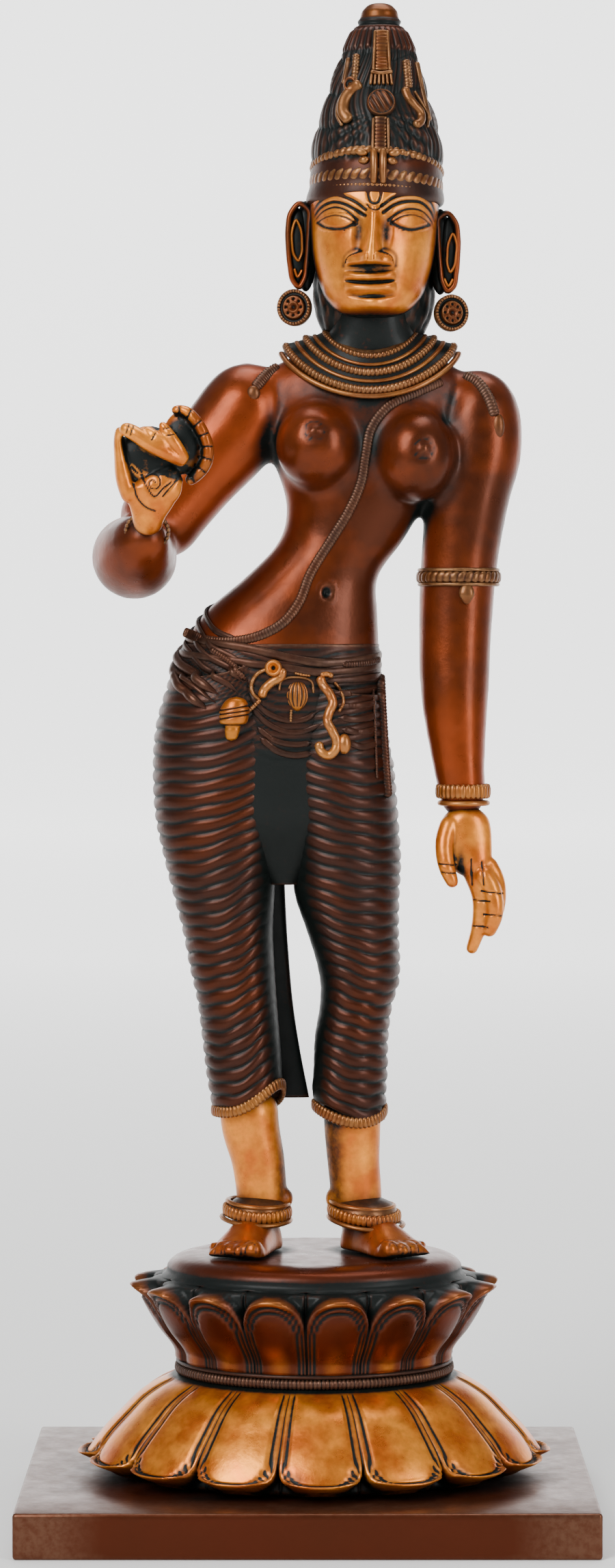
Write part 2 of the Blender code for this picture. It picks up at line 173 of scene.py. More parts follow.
# Limbs: across, front to back, height, half width, half depth
LEFT_ARM = [
    (48, 2, 294, 10, 10),
    (56, 2, 284.6, 14.2, 13.6),
    (57.5, 1, 271, 14.8, 14),
    (54.6, 0, 257.5, 14.2, 13.6),
    (51.2, 0, 233.5, 13.1, 12.8),
    (49.8, -1, 210, 12.4, 12),
    (49.6, -3, 186, 11.4, 11),
    (50.6, -4.5, 168, 9.3, 9),
    (52.2, -5.5, 152, 7.7, 7.5),
    (52.6, -6, 146, 7.2, 6.8),
]
RIGHT_ARM = [
    (-8, 2, 294, 11.6, 11),
    (-18, 2, 286, 15.6, 14.6),
    (-27, 1, 274.6, 16.0, 15),
    (-38.2, -1, 261.0, 14.4, 14),
    (-50.0, -4, 246.0, 14.1, 14),
    (-56.4, -7, 236.4, 14.9, 14.6),
]
RIGHT_FOREARM = [
    (-57.2, -5, 234.6, 14.6, 14.6),
    (-57.6, -14, 233.8, 15.0, 14.8),
    (-57.0, -24, 234.8, 13.4, 13.2),
    (-54.8, -35, 238.0, 10.6, 10.2),
    (-52.6, -43, 241.6, 7.6, 7.4),
    (-52.0, -46, 243.6, 6.4, 5.8),
]


def linear(code):
    """An sRGB hex colour as linear values."""
    values = [int(code[i : i + 2], 16) / 255 for i in (1, 3, 5)]
    return tuple(v / 12.92 if v <= 0.04045 else ((v + 0.055) / 1.055) ** 2.4 for v in values)


def metres(points):
    """Carving units to metres."""
    return np.asarray(points, float) * UNIT + (0, FIGURE_SETBACK, SOLE_LEVEL)


def carving(points):
    """Metres to carving units."""
    return (np.asarray(points, float) - (0, FIGURE_SETBACK, SOLE_LEVEL)) / UNIT


def along(table, values):
    """Smooth columns of a station table, read at many values of its first column."""
    rows = np.array(table, float)
    keys = rows[:, 0]
    values = np.clip(values, keys[0], keys[-1])
    k = np.clip(np.searchsorted(keys, values, side="right") - 1, 0, len(rows) - 2)
    slopes = np.gradient(rows[:, 1:], keys, axis=0)
    span = (keys[k + 1] - keys[k])[:, None]
    s = (values - keys[k])[:, None] / span
    smooth = (
        (2 * s**3 - 3 * s**2 + 1) * rows[k, 1:]
        + (s**3 - 2 * s**2 + s) * span * slopes[k]
        + (3 * s**2 - 2 * s**3) * rows[k + 1, 1:]
        + (s**3 - s**2) * span * slopes[k + 1]
    )
    return smooth.T


def spaced(path, count, closed=False):
    """Count points at even lengths along a smooth line through a path, with its other columns."""
    path = np.array(path, float)
    if closed:
        path = np.concatenate([path[-2:], path, path[:3]])
    steps = np.linalg.norm(np.diff(path[:, :3], axis=0), axis=1)
    keys = np.concatenate([[0], np.cumsum(steps)])
    start, end = (keys[2], keys[-3]) if closed else (keys[0], keys[-1])
    dense = along(np.column_stack([keys, path]), np.linspace(start, end, 30 * len(path))).T
    length = np.concatenate([[0], np.cumsum(np.linalg.norm(np.diff(dense[:, :3], axis=0), axis=1))])
    wanted = np.linspace(0, length[-1], count)
    return np.column_stack([np.interp(wanted, length, column) for column in dense.T]), wanted


def smoothstep(low, high, values):
    t = np.clip((np.asarray(values, float) - low) / (high - low), 0, 1)
    return t * t * (3 - 2 * t)


def bell(distance, reach):
    """1 in the middle of a mark and 0 beyond its reach."""
    return np.clip(1 - (np.asarray(distance) / reach) ** 2, 0, 1) ** 2


def from_line(x, z, path):
    """How far each point is from a drawn line, seen from the front."""
    line = np.array(path, float)
    if len(line) > 2:
        line = spaced(np.column_stack([line, np.zeros(len(line))]), 6 * len(line))[0][:, :2]
    best = np.full(len(x), 99.0)
    low, high = line.min(0) - 3, line.max(0) + 3
    near = np.flatnonzero((x > low[0]) & (x < high[0]) & (z > low[1]) & (z < high[1]))
    points = np.stack([x[near], z[near]], 1)
    for a, b in zip(line, line[1:]):
        share = np.clip(((points - a) @ (b - a)) / ((b - a) @ (b - a)), 0, 1)
        away = np.linalg.norm(points - a - share[:, None] * (b - a), axis=1)
        best[near] = np.minimum(best[near], away)
    return best


def scored(x, z, marks):
    """Depth and patina of drawn cuts, each (line, width, depth, patina)."""
    inward, patina_and_shade = np.zeros(len(x)), np.zeros(len(x))
    for line, width, depth, dark in marks:
        cut = bell(from_line(x, z, line), width)
        inward += depth * cut
        patina_and_shade += dark * cut
    return inward, patina_and_shade


# Sheets: each is (columns, rows, shape), and shape bends a flat grid over (u, v) into
# (points, gold, patina and shade). Gold is where the brass is polished bare; the dark mask holds patina
# in cuts as well as painted shade in hollows, under things and between parts.


def limb(
    path, columns, rows, gold=0.0, patina_and_shade=0.0, outward=(0, -1, 0), blunt=1.0, pitch=0, ribs=0.25, slant=0,
    closed=False, square=1.0, swell=0.6,
):
    """A tube along a path of (x, y, z, half width, half depth), ribbed every pitch if it has one."""

    def shape(u, v):
        line, lengths = spaced(path, rows + 1, closed)
        centres, half_width, half_depth = line[:, :3], line[:, 3], line[:, 4]
        tangents = np.gradient(centres, axis=0)
        if closed:
            tangents[0] = tangents[-1] = (centres[1] - centres[0]) + (centres[-1] - centres[-2])
        tangents /= np.linalg.norm(tangents, axis=1)[:, None]
        out = np.array(outward(centres) if callable(outward) else [outward] * (rows + 1), float)
        out -= tangents * (out * tangents).sum(1)[:, None]
        out /= np.maximum(np.linalg.norm(out, axis=1), 1e-6)[:, None]
        side = np.cross(tangents, out)
        tip = np.ones(rows + 1)
        if not closed and blunt:
            size = np.minimum(half_width, half_depth) * blunt
            gap = np.minimum(lengths, lengths[-1] - lengths)
            tip = np.sqrt(np.clip(1 - (1 - np.clip(gap / size, 0, 1)) ** 2, 0, 1))
        elif not closed:
            tip[[0, -1]] = 0
        j = np.clip(np.rint(v * rows).astype(int), 0, rows)
        turn = 2 * np.pi * u
        across, forward = np.cos(turn), np.sin(turn)
        across = np.sign(across) * np.abs(across) ** square
        forward = np.sign(forward) * np.abs(forward) ** square
        ridge = np.ones(len(u))
        if pitch:
            count = max(1, round(lengths[-1] / pitch))
            phase = lengths[j] / lengths[-1] * count + slant * np.sin(turn + 0.8)
            ridge = 1 - ribs * (1 - np.abs(np.sin(np.pi * phase)) ** swell)
        scale = (tip[j] * ridge)[:, None]
        points = centres[j] + scale * (
            side[j] * (half_width[j] * across)[:, None] + out[j] * (half_depth[j] * forward)[:, None]
        )
        dark = patina_and_shade + (0.9 * np.clip((1 - ridge) / ribs - 0.35, 0, 1) if pitch else 0)
        return points, gold * np.ones(len(u)), dark * np.ones(len(u))

    return columns, rows, shape


def trunk(table, columns, rows, gold=0.0, patina_and_shade=0.0, inset=0.0):
    """A form with level sections, closed at both ends."""

    def shape(u, v):
        low, high = table[0][0], table[-1][0]
        edge = 1.5 / rows
        z = low + (high - low) * np.clip((v - edge) / (1 - 2 * edge), 0, 1)
        x, y, half_width, half_depth = along(table, z)
        tip = np.where((v < edge / 2) | (v > 1 - edge / 2), 0.0, 1.0)
        turn = 2 * np.pi * u + np.pi / 2
        points = np.stack([
            x + tip * (half_width - inset) * np.cos(turn),
            y + tip * (half_depth - inset) * np.sin(turn),
            z,
        ], 1)
        return points, np.full(len(u), gold), np.full(len(u), patina_and_shade)

    return columns, rows, shape


def egg(x, y, z, radius_x, radius_y, radius_z, columns=24, rows=16, gold=0.0, patina_and_shade=0.0):
    """A rounded form whose three radii may differ."""

    def shape(u, v):
        turn, tilt = 2 * np.pi * u, np.pi * v
        points = np.stack([
            x + radius_x * np.sin(tilt) * np.cos(turn),
            y + radius_y * np.sin(tilt) * np.sin(turn),
            z - radius_z * np.cos(tilt),
        ], 1)
        return points, np.full(len(u), gold), np.full(len(u), patina_and_shade)

    return columns, rows, shape


def medallion(x, y, z, radius, depth, facing, relief, columns=72, rows=26, gold=0.5, stretch=1.0):
    """A round ornament whose face is relief(angle, share of the radius), in carving units."""
    facing = Vector(facing).normalized()
    across = Vector((0, 0, 1)).cross(facing).normalized()
    up = facing.cross(across)

    def shape(u, v):
        turn = 2 * np.pi * u
        share = np.clip(v / 0.8, 0, 1)
        height, patina_and_shade = relief(turn, share)
        back = smoothstep(0.8, 0.86, v)
        spread = radius * share * np.where(v > 0.93, np.clip((1 - v) / 0.07, 0, 1), 1)
        rise = np.where(v <= 0.8, depth + height, (depth + height) * (1 - back) - back)
        points = (
            np.array([x, y, z])
            + (spread * np.cos(turn))[:, None] * np.array(across)
            + (stretch * spread * np.sin(turn))[:, None] * np.array(up)
            + rise[:, None] * np.array(facing)
        )
        return points, np.full(len(u), gold), np.where(v <= 0.8, patina_and_shade, 0.6)

    return columns, rows, shape


def carve(name, sheets, to_metres=metres):
    """One object of all these sheets, with its seams welded and its faces pointing out."""
    bm = bmesh.new()
    gold_layer = bm.verts.layers.float.new("gold")
    patina_and_shade_layer = bm.verts.layers.float.new("patina_and_shade")
    for columns, rows, shape in sheets:
        fresh = bmesh.ops.create_grid(bm, x_segments=columns, y_segments=rows, size=0.5)["verts"]
        flat = np.array([v.co[:2] for v in fresh]) + 0.5
        points, gold, patina_and_shade = shape(flat[:, 0], flat[:, 1])
        for vert, point, shine, dark in zip(fresh, to_metres(points), gold, np.clip(patina_and_shade, 0, 1)):
            vert.co = point
            vert[gold_layer] = shine
            vert[patina_and_shade_layer] = dark
        edges = dict.fromkeys(edge for vert in fresh for edge in vert.link_edges)
        bmesh.ops.remove_doubles(bm, verts=fresh, dist=WELD)
        bmesh.ops.dissolve_degenerate(bm, edges=[e for e in edges if e.is_valid], dist=FLAT_EDGE)
        faces = list(dict.fromkeys(face for vert in fresh if vert.is_valid for face in vert.link_faces))
        bmesh.ops.recalc_face_normals(bm, faces=faces)
        middle = Vector(to_metres(points).mean(0))
        if sum(f.calc_area() * f.normal.dot(f.calc_center_median() - middle) for f in faces) < 0:
            bmesh.ops.reverse_faces(bm, faces=faces)
    return finished(name, bm)


def finished(name, bm):
    """The smooth-shaded object of a bmesh, which is freed."""
    mesh = bpy.data.meshes.new(name)
    bm.to_mesh(mesh)
    bm.free()
    mesh.shade_smooth()
    obj = bpy.data.objects.new(name, mesh)
    bpy.context.scene.collection.objects.link(obj)
    return obj


def read(items, key, width, kind=np.float32):
    """A property of every vertex, edge or triangle, as the rows of an array."""
    flat = np.empty(len(items) * width, kind)
    items.foreach_get(key, flat)
    return flat.reshape(-1, width)


def read_points(mesh):
    return read(mesh.vertices, "co", 3).astype(float)


def read_normals(mesh):
    return read(mesh.vertex_normals, "vector", 3).astype(float)


def read_edges(mesh):
    return read(mesh.edges, "vertices", 2, np.int32)


def write_points(mesh, points):
    mesh.vertices.foreach_set("co", np.asarray(points, np.float32).ravel())
    mesh.update()


def write_mask(mesh, name, values):
    layer = mesh.attributes.get(name) or mesh.attributes.new(name, "FLOAT", "POINT")
    layer.data.foreach_set("value", np.asarray(values, np.float32))


def neighbours_mean(values, edges):
    """The mean of each vertex's neighbours."""
    count = np.bincount(edges.ravel(), minlength=len(values)).astype(float)
    count[count == 0] = 1
    total = np.stack([
        np.bincount(edges[:, 0], column[edges[:, 1]], len(values))
        + np.bincount(edges[:, 1], column[edges[:, 0]], len(values))
        for column in values.T
    ], 1)
    return total / count[:, None]


def fused(name, sheets, voxel, passes, finish):
    """The sheets run together into one skin, smoothed like wax, then cut by finish(points, normals)."""
    rough = carve(name + "_wax", sheets)
    skin = rough.modifiers.new("run_together", "REMESH")
    skin.mode = "VOXEL"
    skin.voxel_size = voxel * UNIT
    graph = bpy.context.evaluated_depsgraph_get()
    mesh = bpy.data.meshes.new_from_object(rough.evaluated_get(graph))
    bpy.data.objects.remove(rough)
    mesh.name = name
    points, edges = read_points(mesh), read_edges(mesh)
    for _ in range(passes):
        points += 0.5 * (neighbours_mean(points, edges) - points)
    write_points(mesh, points)
    mesh.shade_smooth()
    moved, gold, patina_and_shade = finish(carving(points), read_normals(mesh))
    write_points(mesh, metres(moved))
    write_mask(mesh, "gold", gold)
    write_mask(mesh, "patina_and_shade", np.clip(patina_and_shade, 0, 1))
    obj = bpy.data.objects.new(name, mesh)
    bpy.context.scene.collection.objects.link(obj)
    return obj


class Ground:
    """The finished surfaces that ornaments are laid on."""

    def __init__(self, *names):
        self.trees = []
        for name in names:
            mesh = bpy.data.objects[name].data
            mesh.calc_loop_triangles()
            faces = read(mesh.loop_triangles, "vertices", 3, np.int32)
            self.trees.append(BVHTree.FromPolygons(carving(read_points(mesh)).tolist(), faces.tolist()))

    def front(self, x, z, guess):
        """The foremost surface straight behind a point of the front view."""
        best = None
        for tree in self.trees:
            hit, normal, _, _ = tree.ray_cast(Vector((x, -90, z)), Vector((0, 1, 0)))
            if hit is not None and (best is None or hit.y < best[0]):
                best = (hit.y, normal)
        return best or (guess, Vector((0, -1, 0)))

    def laid(self, path, width, depth, lift=0.3, count=40, guess=-15):
        """A limb path on the surface from (x, z) points of the front view."""
        line = spaced(np.array([(x, 0, z) for x, z in path], float), count)[0]
        depths = np.array([self.front(x, z, guess)[0] for x, _, z in line])
        for _ in range(3):
            depths[1:-1] = (depths[:-2] + 2 * depths[1:-1] + depths[2:]) / 4
        return [(x, y - lift, z, width, depth) for (x, _, z), y in zip(line, depths)]


def on_strips(ground, strips):
    """A limb for each strip of a table, laid on the surface."""
    return [
        limb(ground.laid(path, width, depth, lift=lift, count=count), columns, rows, **options)
        for path, width, depth, lift, count, columns, rows, options in strips
    ]


def hugging(ground, path, width, depth, lift=0.1, count=70):
    """A limb path round the hips; each point is (across, height), or (None, height, turn) out of sight."""
    turns = []
    for point in path:
        if point[0] is None:
            turns.append((math.radians(point[2]) * TURN_LENGTH, 0, point[1]))
        else:
            y = ground.front(point[0], point[1], -10)[0]
            turns.append((math.atan2(HIP_AXIS[0] - point[0], HIP_AXIS[1] - y) * TURN_LENGTH, 0, point[1]))
    line = spaced(np.array(turns, float), count)[0]
    reach = []
    for turn, _, z in line:
        out = Vector((-math.sin(turn / TURN_LENGTH), -math.cos(turn / TURN_LENGTH), 0))
        start = Vector((*HIP_AXIS, z)) + RAY_START * out
        hits = [tree.ray_cast(start, -out)[3] for tree in ground.trees]
        reach.append(RAY_START - min([h for h in hits if h is not None] or [RAY_REACH]))
    reach = np.array(reach)
    for _ in range(3):
        reach[1:-1] = (reach[:-2] + 2 * reach[1:-1] + reach[2:]) / 4
    # The ends run thin and sink into the cloth
    share = np.linspace(0, 1, len(line))
    ends = 0.15 + 0.85 * smoothstep(0, 0.12, np.minimum(share, 1 - share))
    reach += lift - 0.6 * depth * (1 - ends)
    return [
        (
            HIP_AXIS[0] - r * math.sin(t / TURN_LENGTH),
            HIP_AXIS[1] - r * math.cos(t / TURN_LENGTH),
            z, width * end, depth * end,
        )
        for (t, _, z), r, end in zip(line, reach, ends)
    ]


def dress(obj, material, node="figure"):
    obj.data.materials.clear()
    obj.data.materials.append(material)
    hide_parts(node)
    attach(obj, "root")
    return obj


# ---- Finishes ----


def add_node(tree, kind, links=(), **settings):
    """A shader node with its settings and its inputs' values or links."""
    node = tree.nodes.new(kind)
    for key, value in settings.items():
        setattr(node, key, value)
    for socket, value in dict(links).items():
        if isinstance(value, bpy.types.NodeSocket):
            tree.links.new(value, node.inputs[socket])
        else:
            node.inputs[socket].default_value = value
    return node


def cast_brass(
    name, body, warm, shine, shade, patina, wear_and_sheen, gloss=0.3, patina_share=1.0, worn_and_sheen=0.8, blotch=22.0,
    metallic=0.75, pits=0.05,
):
    """Sand-cast brass under a tinted lacquer: the lacquer lies as a warm, uneven brown film,
    rubbed off to bare gold where hands polish it, and dark green-black where it pools. The same
    dark paints shade in shut-in places, and the ridges carry a painted greyish sheen with their wear."""
    if name in bpy.data.materials:
        return bpy.data.materials[name]
    material = bpy.data.materials.new(name)
    material.use_nodes = True
    tree = material.node_tree
    shader = tree.nodes["Principled BSDF"]
    where = add_node(tree, "ShaderNodeTexCoord").outputs["Object"]

    def mask(attribute):
        return add_node(tree, "ShaderNodeAttribute", attribute_name=attribute).outputs["Fac"]

    def noise(millimetres, detail=3.0, roughness=0.55):
        made = add_node(
            tree, "ShaderNodeTexNoise",
            {"Vector": where, "Scale": 1000 / millimetres, "Detail": detail, "Roughness": roughness},
        )
        return made.outputs["Fac"]

    def spread(value, low, high, to_low=0.0, to_high=1.0):
        made = add_node(
            tree, "ShaderNodeMapRange",
            {"Value": value, "From Min": low, "From Max": high, "To Min": to_low, "To Max": to_high},
        )
        return made.outputs["Result"]

    def sum_of(a, b, operation="ADD"):
        return add_node(
            tree, "ShaderNodeMath", {0: a, 1: b}, operation=operation, use_clamp=operation == "ADD",
        ).outputs[0]

    def blend(share, a, b):
        made = add_node(
            tree, "ShaderNodeMix",
            {0: share, 6: (*a, 1) if isinstance(a, tuple) else a, 7: (*b, 1) if isinstance(b, tuple) else b},
            data_type="RGBA",
        )
        return made.outputs[2]

    cavity, hollow_shade_and_patina, gold, patina_and_shade = mask("cavity"), mask("hollow_shade_and_patina"), mask("gold"), mask("patina_and_shade")
    blotches = spread(noise(blotch, 4.0), 0.38, 0.66)
    fine = noise(2.4, 5.0, 0.65)
    # Lacquer: brown, with ember-red pools a few centimetres wide
    film = blend(blotches, body, warm)
    # Bare brass: brighter and duller zones from rubbing
    bare = blend(spread(noise(12, 3.0), 0.35, 0.68), shade, shine)
    tone = blend(sum_of(gold, spread(fine, 0.3, 0.75, 0.75, 1.1), "MULTIPLY"), film, bare)
    # Ridges catch the polishing cloth; their rubbed colour is also a painted greyish sheen
    ridge = spread(cavity, -0.15, -0.9, 0.0, worn_and_sheen)
    tone = blend(sum_of(ridge, spread(fine, 0.35, 0.6, 0.4, 1.0), "MULTIPLY"), tone, wear_and_sheen)
    # Patina gathers in cuts and hollows, and the same dark is painted shade in shut-in places
    pooled = sum_of(sum_of(spread(cavity, 0.12, 0.7), spread(hollow_shade_and_patina, 0.1, 0.7)), patina_and_shade)
    pooled = sum_of(pooled, spread(fine, 0.25, 0.7, 1.3 * patina_share, 0.9 * patina_share), "MULTIPLY")
    pooled = sum_of(pooled, spread(cavity, -0.1, -0.6, 1.0, 1 - worn_and_sheen), "MULTIPLY")
    tone = blend(spread(pooled, 0.0, 1.0), tone, patina)
    tree.links.new(tone, shader.inputs["Base Color"])
    metal = spread(pooled, 0.0, 1.0, metallic, 0.1)
    tree.links.new(metal, shader.inputs["Metallic"])
    rough = sum_of(spread(pooled, 0.0, 1.0, gloss, 0.5), spread(noise(6, 4.0), 0.3, 0.7, -0.05, 0.07))
    tree.links.new(rough, shader.inputs["Roughness"])
    shader.inputs["Specular IOR Level"].default_value = 0.2
    shader.inputs["Coat Weight"].default_value = 0.06
    shader.inputs["Coat Roughness"].default_value = 0.2
    # Casting skin: shallow pits a millimetre or so across
    skin = add_node(
        tree, "ShaderNodeBump", {"Height": noise(1.6, 4.0, 0.6), "Strength": pits * 4, "Distance": 0.0003},
    )
    tree.links.new(skin.outputs["Normal"], shader.inputs["Normal"])
    return material


def finishes(colours):
    """Every finish of the statue, from the colours that a user may change."""
    copper, ember = tuple(colours.copper), tuple(colours.ember)
    gold, gold_shade = tuple(colours.gold), tuple(colours.gold_shade)
    patina, wear_and_sheen = tuple(colours.patina), tuple(colours.wear_and_sheen)
    return {
        "skin": cast_brass(
            "lacquered_skin_brass", copper, ember, gold, gold_shade, patina, wear_and_sheen, gloss=0.31, worn_and_sheen=0.12,
            blotch=46, metallic=0.6,
        ),
        "cloth": cast_brass(
            "brown_pleat_brass", tuple(colours.cloth), copper, gold, gold_shade, patina, wear_and_sheen, gloss=0.36,
            worn_and_sheen=0.35, blotch=30,
        ),
        "jewel": cast_brass(
            "rubbed_and_sheen_jewel_brass", tuple(colours.cloth), copper, gold, gold_shade, patina,
            tuple(colours.jewel_wear_and_sheen), gloss=0.34, worn_and_sheen=0.8, blotch=9,
        ),
        "crown": cast_brass(
            "smoked_crown_brass", tuple(colours.cloth), copper, gold, gold_shade, patina, wear_and_sheen, gloss=0.4,
            worn_and_sheen=0.55, blotch=14,
        ),
        "lotus": cast_brass(
            "golden_lotus_brass", tuple(colours.lotus), tuple(colours.slab), gold, gold_shade, patina, wear_and_sheen,
            gloss=0.3, worn_and_sheen=0.25, blotch=30,
        ),
        "slab": cast_brass(
            "brown_plinth_brass", tuple(colours.slab), copper, gold, gold_shade, patina, wear_and_sheen, gloss=0.34,
            worn_and_sheen=0.4, blotch=50, patina_share=0.8,
        ),
    }


# ---- Settings ----


def length(name, description, default, low, high):
    limits = {"default": default, "min": low, "max": high}
    return bpy.props.FloatProperty(name=name, description=description, subtype="DISTANCE", unit="LENGTH", **limits)


def colour(name, code, description):
    return bpy.props.FloatVectorProperty(
        name=name, description=description, subtype="COLOR", size=3, min=0, max=1, default=linear(code),
    )


class StatueColours(bpy.types.PropertyGroup):
    copper: colour("Lacquer", "#4C220F", "Copper-brown lacquer on the skin")
    ember: colour("Ember", "#8C3A12", "Orange-red pools in the lacquer")
    cloth: colour("Cloth Lacquer", "#38211A", "Duller brown on the skirt and the crown")
    gold: colour("Polished Gold", "#F89A30", "Bare polished brass")
    gold_shade: colour("Gold Shade", "#C8641C", "Bare brass between the polished zones")
    # The patina colour also paints the shade in hollows, under things and between parts
    patina: colour("Patina", "#070D0B", "Green-black patina in cuts and hollows")
    # Ridge colours: wear, and also a painted sheen where light glances off the ridges
    wear_and_sheen: colour("Worn Ridges and Sheen", "#7A5C48", "Greyed lacquer rubbed from the ridges")
    jewel_wear_and_sheen: colour("Bright Ridges", "#946A44", "Ridges of the jewellery rubbed bare")
    lotus: colour("Upper Lotus", "#5C240C", "Lacquer on the rising petals")
    slab: colour("Plinth", "#50220F", "Lacquer on the plinth")


class StatueSizes(bpy.types.PropertyGroup):
    pleat_pitch: length("Pleat Pitch", "Height from one pleat of the skirt to the next", 0.0044, 0.002, 0.012)
    pleat_depth: length("Pleat Depth", "How far the pleats stand out", 0.0012, 0.0, 0.003)
    bead_pitch: length("Bead Pitch", "Spacing of the beads on the jewellery", 0.0014, 0.0008, 0.004)
    skin_grain: length("Skin Grain", "Mesh grain of the bare body", 0.0013, 0.0006, 0.004)
    hand_grain: length("Hand Grain", "Mesh grain of the hands and feet", 0.0005, 0.0003, 0.002)
    petals: bpy.props.IntProperty(
        name="Petals", description="Petals in each row of the lotus", default=16, min=6, max=40,
    )


class PieceOperator(bpy.types.Operator):
    """Shared reading of the settings"""

    bl_options = {"REGISTER", "UNDO"}

    def finish_of(self, context):
        return finishes(context.scene.statue_colours)

    def sizes(self, context):
        return context.scene.statue_sizes


class STATUE_OT_bare_body(PieceOperator):
    """Carve the bare torso, neck and arms as one skin"""

    bl_idname = "statue.bare_body"
    bl_label = "Bare Body"

    def execute(self, context):
        sheets = [
            trunk(TORSO, 96, 130),
            limb(LEFT_ARM, 48, 120),
            limb(RIGHT_ARM, 48, 90),
            limb(RIGHT_FOREARM, 48, 60, outward=(0, 0, 1)),
            egg(3.2, -12.5, 271.3, 14, 14, 14.6, 48, 32),
            egg(36.1, -12.5, 267.9, 13.2, 14, 15.6, 48, 32),
        ]

        def finish(points, normals):
            x, y, z = points.T
            front = np.clip(-normals[:, 1], 0, 1)
            inward = np.zeros(len(x))
            patina_and_shade = np.zeros(len(x))
            navel = np.hypot((x - 6.4) / 1.5, (z - 222.2) / 1.9)
            inward += 2.6 * bell(navel, 1.3) * (front > 0.3) - 0.5 * bell(navel - 1.6, 0.7) * (front > 0.3)
            patina_and_shade += bell(navel, 1.25) * (front > 0.3)
            for nx, nz in ((2.3, 275.6), (38.4, 269.6)):
                around = np.hypot(x - nx, z - nz)
                on = (front > 0.3) & (y < -14)
                inward += (0.35 * bell(around - 3.3, 0.8) - 1.2 * bell(around, 1.7)) * on
                patina_and_shade += (0.5 * bell(around - 3.3, 0.7) + 0.3 * bell(around - 1.9, 0.5)) * on
            # Patina and painted shade on the neck under the chin
            patina_and_shade += 1.1 * smoothstep(296, 303, z) * (np.abs(x - 21) < 26)
            # Patina and painted shade below the collar, between and under the breasts and down the flanks
            patina_and_shade += 0.7 * bell(np.hypot((x - 20) / 9, (z - 276) / 17), 1.2) * front
            patina_and_shade += 0.55 * bell(z - 289, 9) * front * (np.abs(x - 20) < 30)
            return points - normals * inward[:, None], np.zeros(len(x)), patina_and_shade

        body = fused("bare_body", sheets, self.sizes(context).skin_grain / UNIT, 14, finish)
        dress(body, self.finish_of(context)["skin"])
        return {"FINISHED"}


class STATUE_OT_head(PieceOperator):
    """Carve the head with its closed eyes, and the ears"""

    bl_idname = "statue.head"
    bl_label = "Head"

    def execute(self, context):
        dress(carve("head", [(208, 170, head_surface)]), self.finish_of(context)["skin"])
        dress(carve("ears", ear_sheets()), self.finish_of(context)["skin"])
        return {"FINISHED"}


# Lines of the face in the traditional manner: across, height
EYES = [
    {
        "brow_top": [(1.8, 349.4), (5.4, 352.7), (9.2, 353.6), (12.9, 352.5), (16.7, 350.4), (19.2, 348.3)],
        "brow_low": [(1.6, 346.8), (4.9, 350.2), (8.7, 351.3), (12.0, 350.5), (15.7, 348.5), (19.0, 346.4)],
        "lid_top": [(2.2, 345.9), (5.4, 348.7), (9.2, 349.6), (12.9, 348.3), (16.4, 345.0)],
        "eye_top": [(3.3, 345.2), (6.3, 346.5), (9.2, 346.8), (12.0, 346.1), (15.6, 344.2)],
        "eye_low": [(3.3, 345.1), (5.9, 343.2), (8.7, 342.4), (12.0, 342.4), (16.0, 344.0)],
    },
    {
        "brow_top": [(24.6, 349.6), (28.4, 352.4), (33.1, 353.6), (37.3, 353.7), (40.6, 352.0), (43.0, 347.2)],
        "brow_low": [(25.0, 347.4), (28.9, 350.1), (33.6, 351.4), (37.8, 351.2), (40.4, 349.4), (42.4, 346.0)],
        "lid_top": [(26.8, 345.0), (30.3, 347.8), (34.5, 349.0), (38.3, 348.4), (40.9, 346.1), (42.4, 343.4)],
        "eye_top": [(27.8, 344.2), (31.7, 346.4), (35.4, 346.9), (38.7, 345.9), (40.6, 344.5)],
        "eye_low": [(27.8, 344.0), (30.8, 342.6), (34.5, 342.1), (37.8, 343.0), (40.6, 344.3)],
    },
]


FOREHEAD_MARK = [
    (
        [(20.3, 357.5), (20.2, 352.4), (20.9, 350.8), (22.1, 350.3), (23.3, 350.8), (24.0, 352.4), (24.1, 357.5)],
        0.8, 0.6, 1.2,
    ),
    ([(19.7, 349.9), (20.8, 348.6), (22.2, 348.1), (23.6, 348.6), (24.6, 349.9)], 0.6, 0.4, 1.0),
]


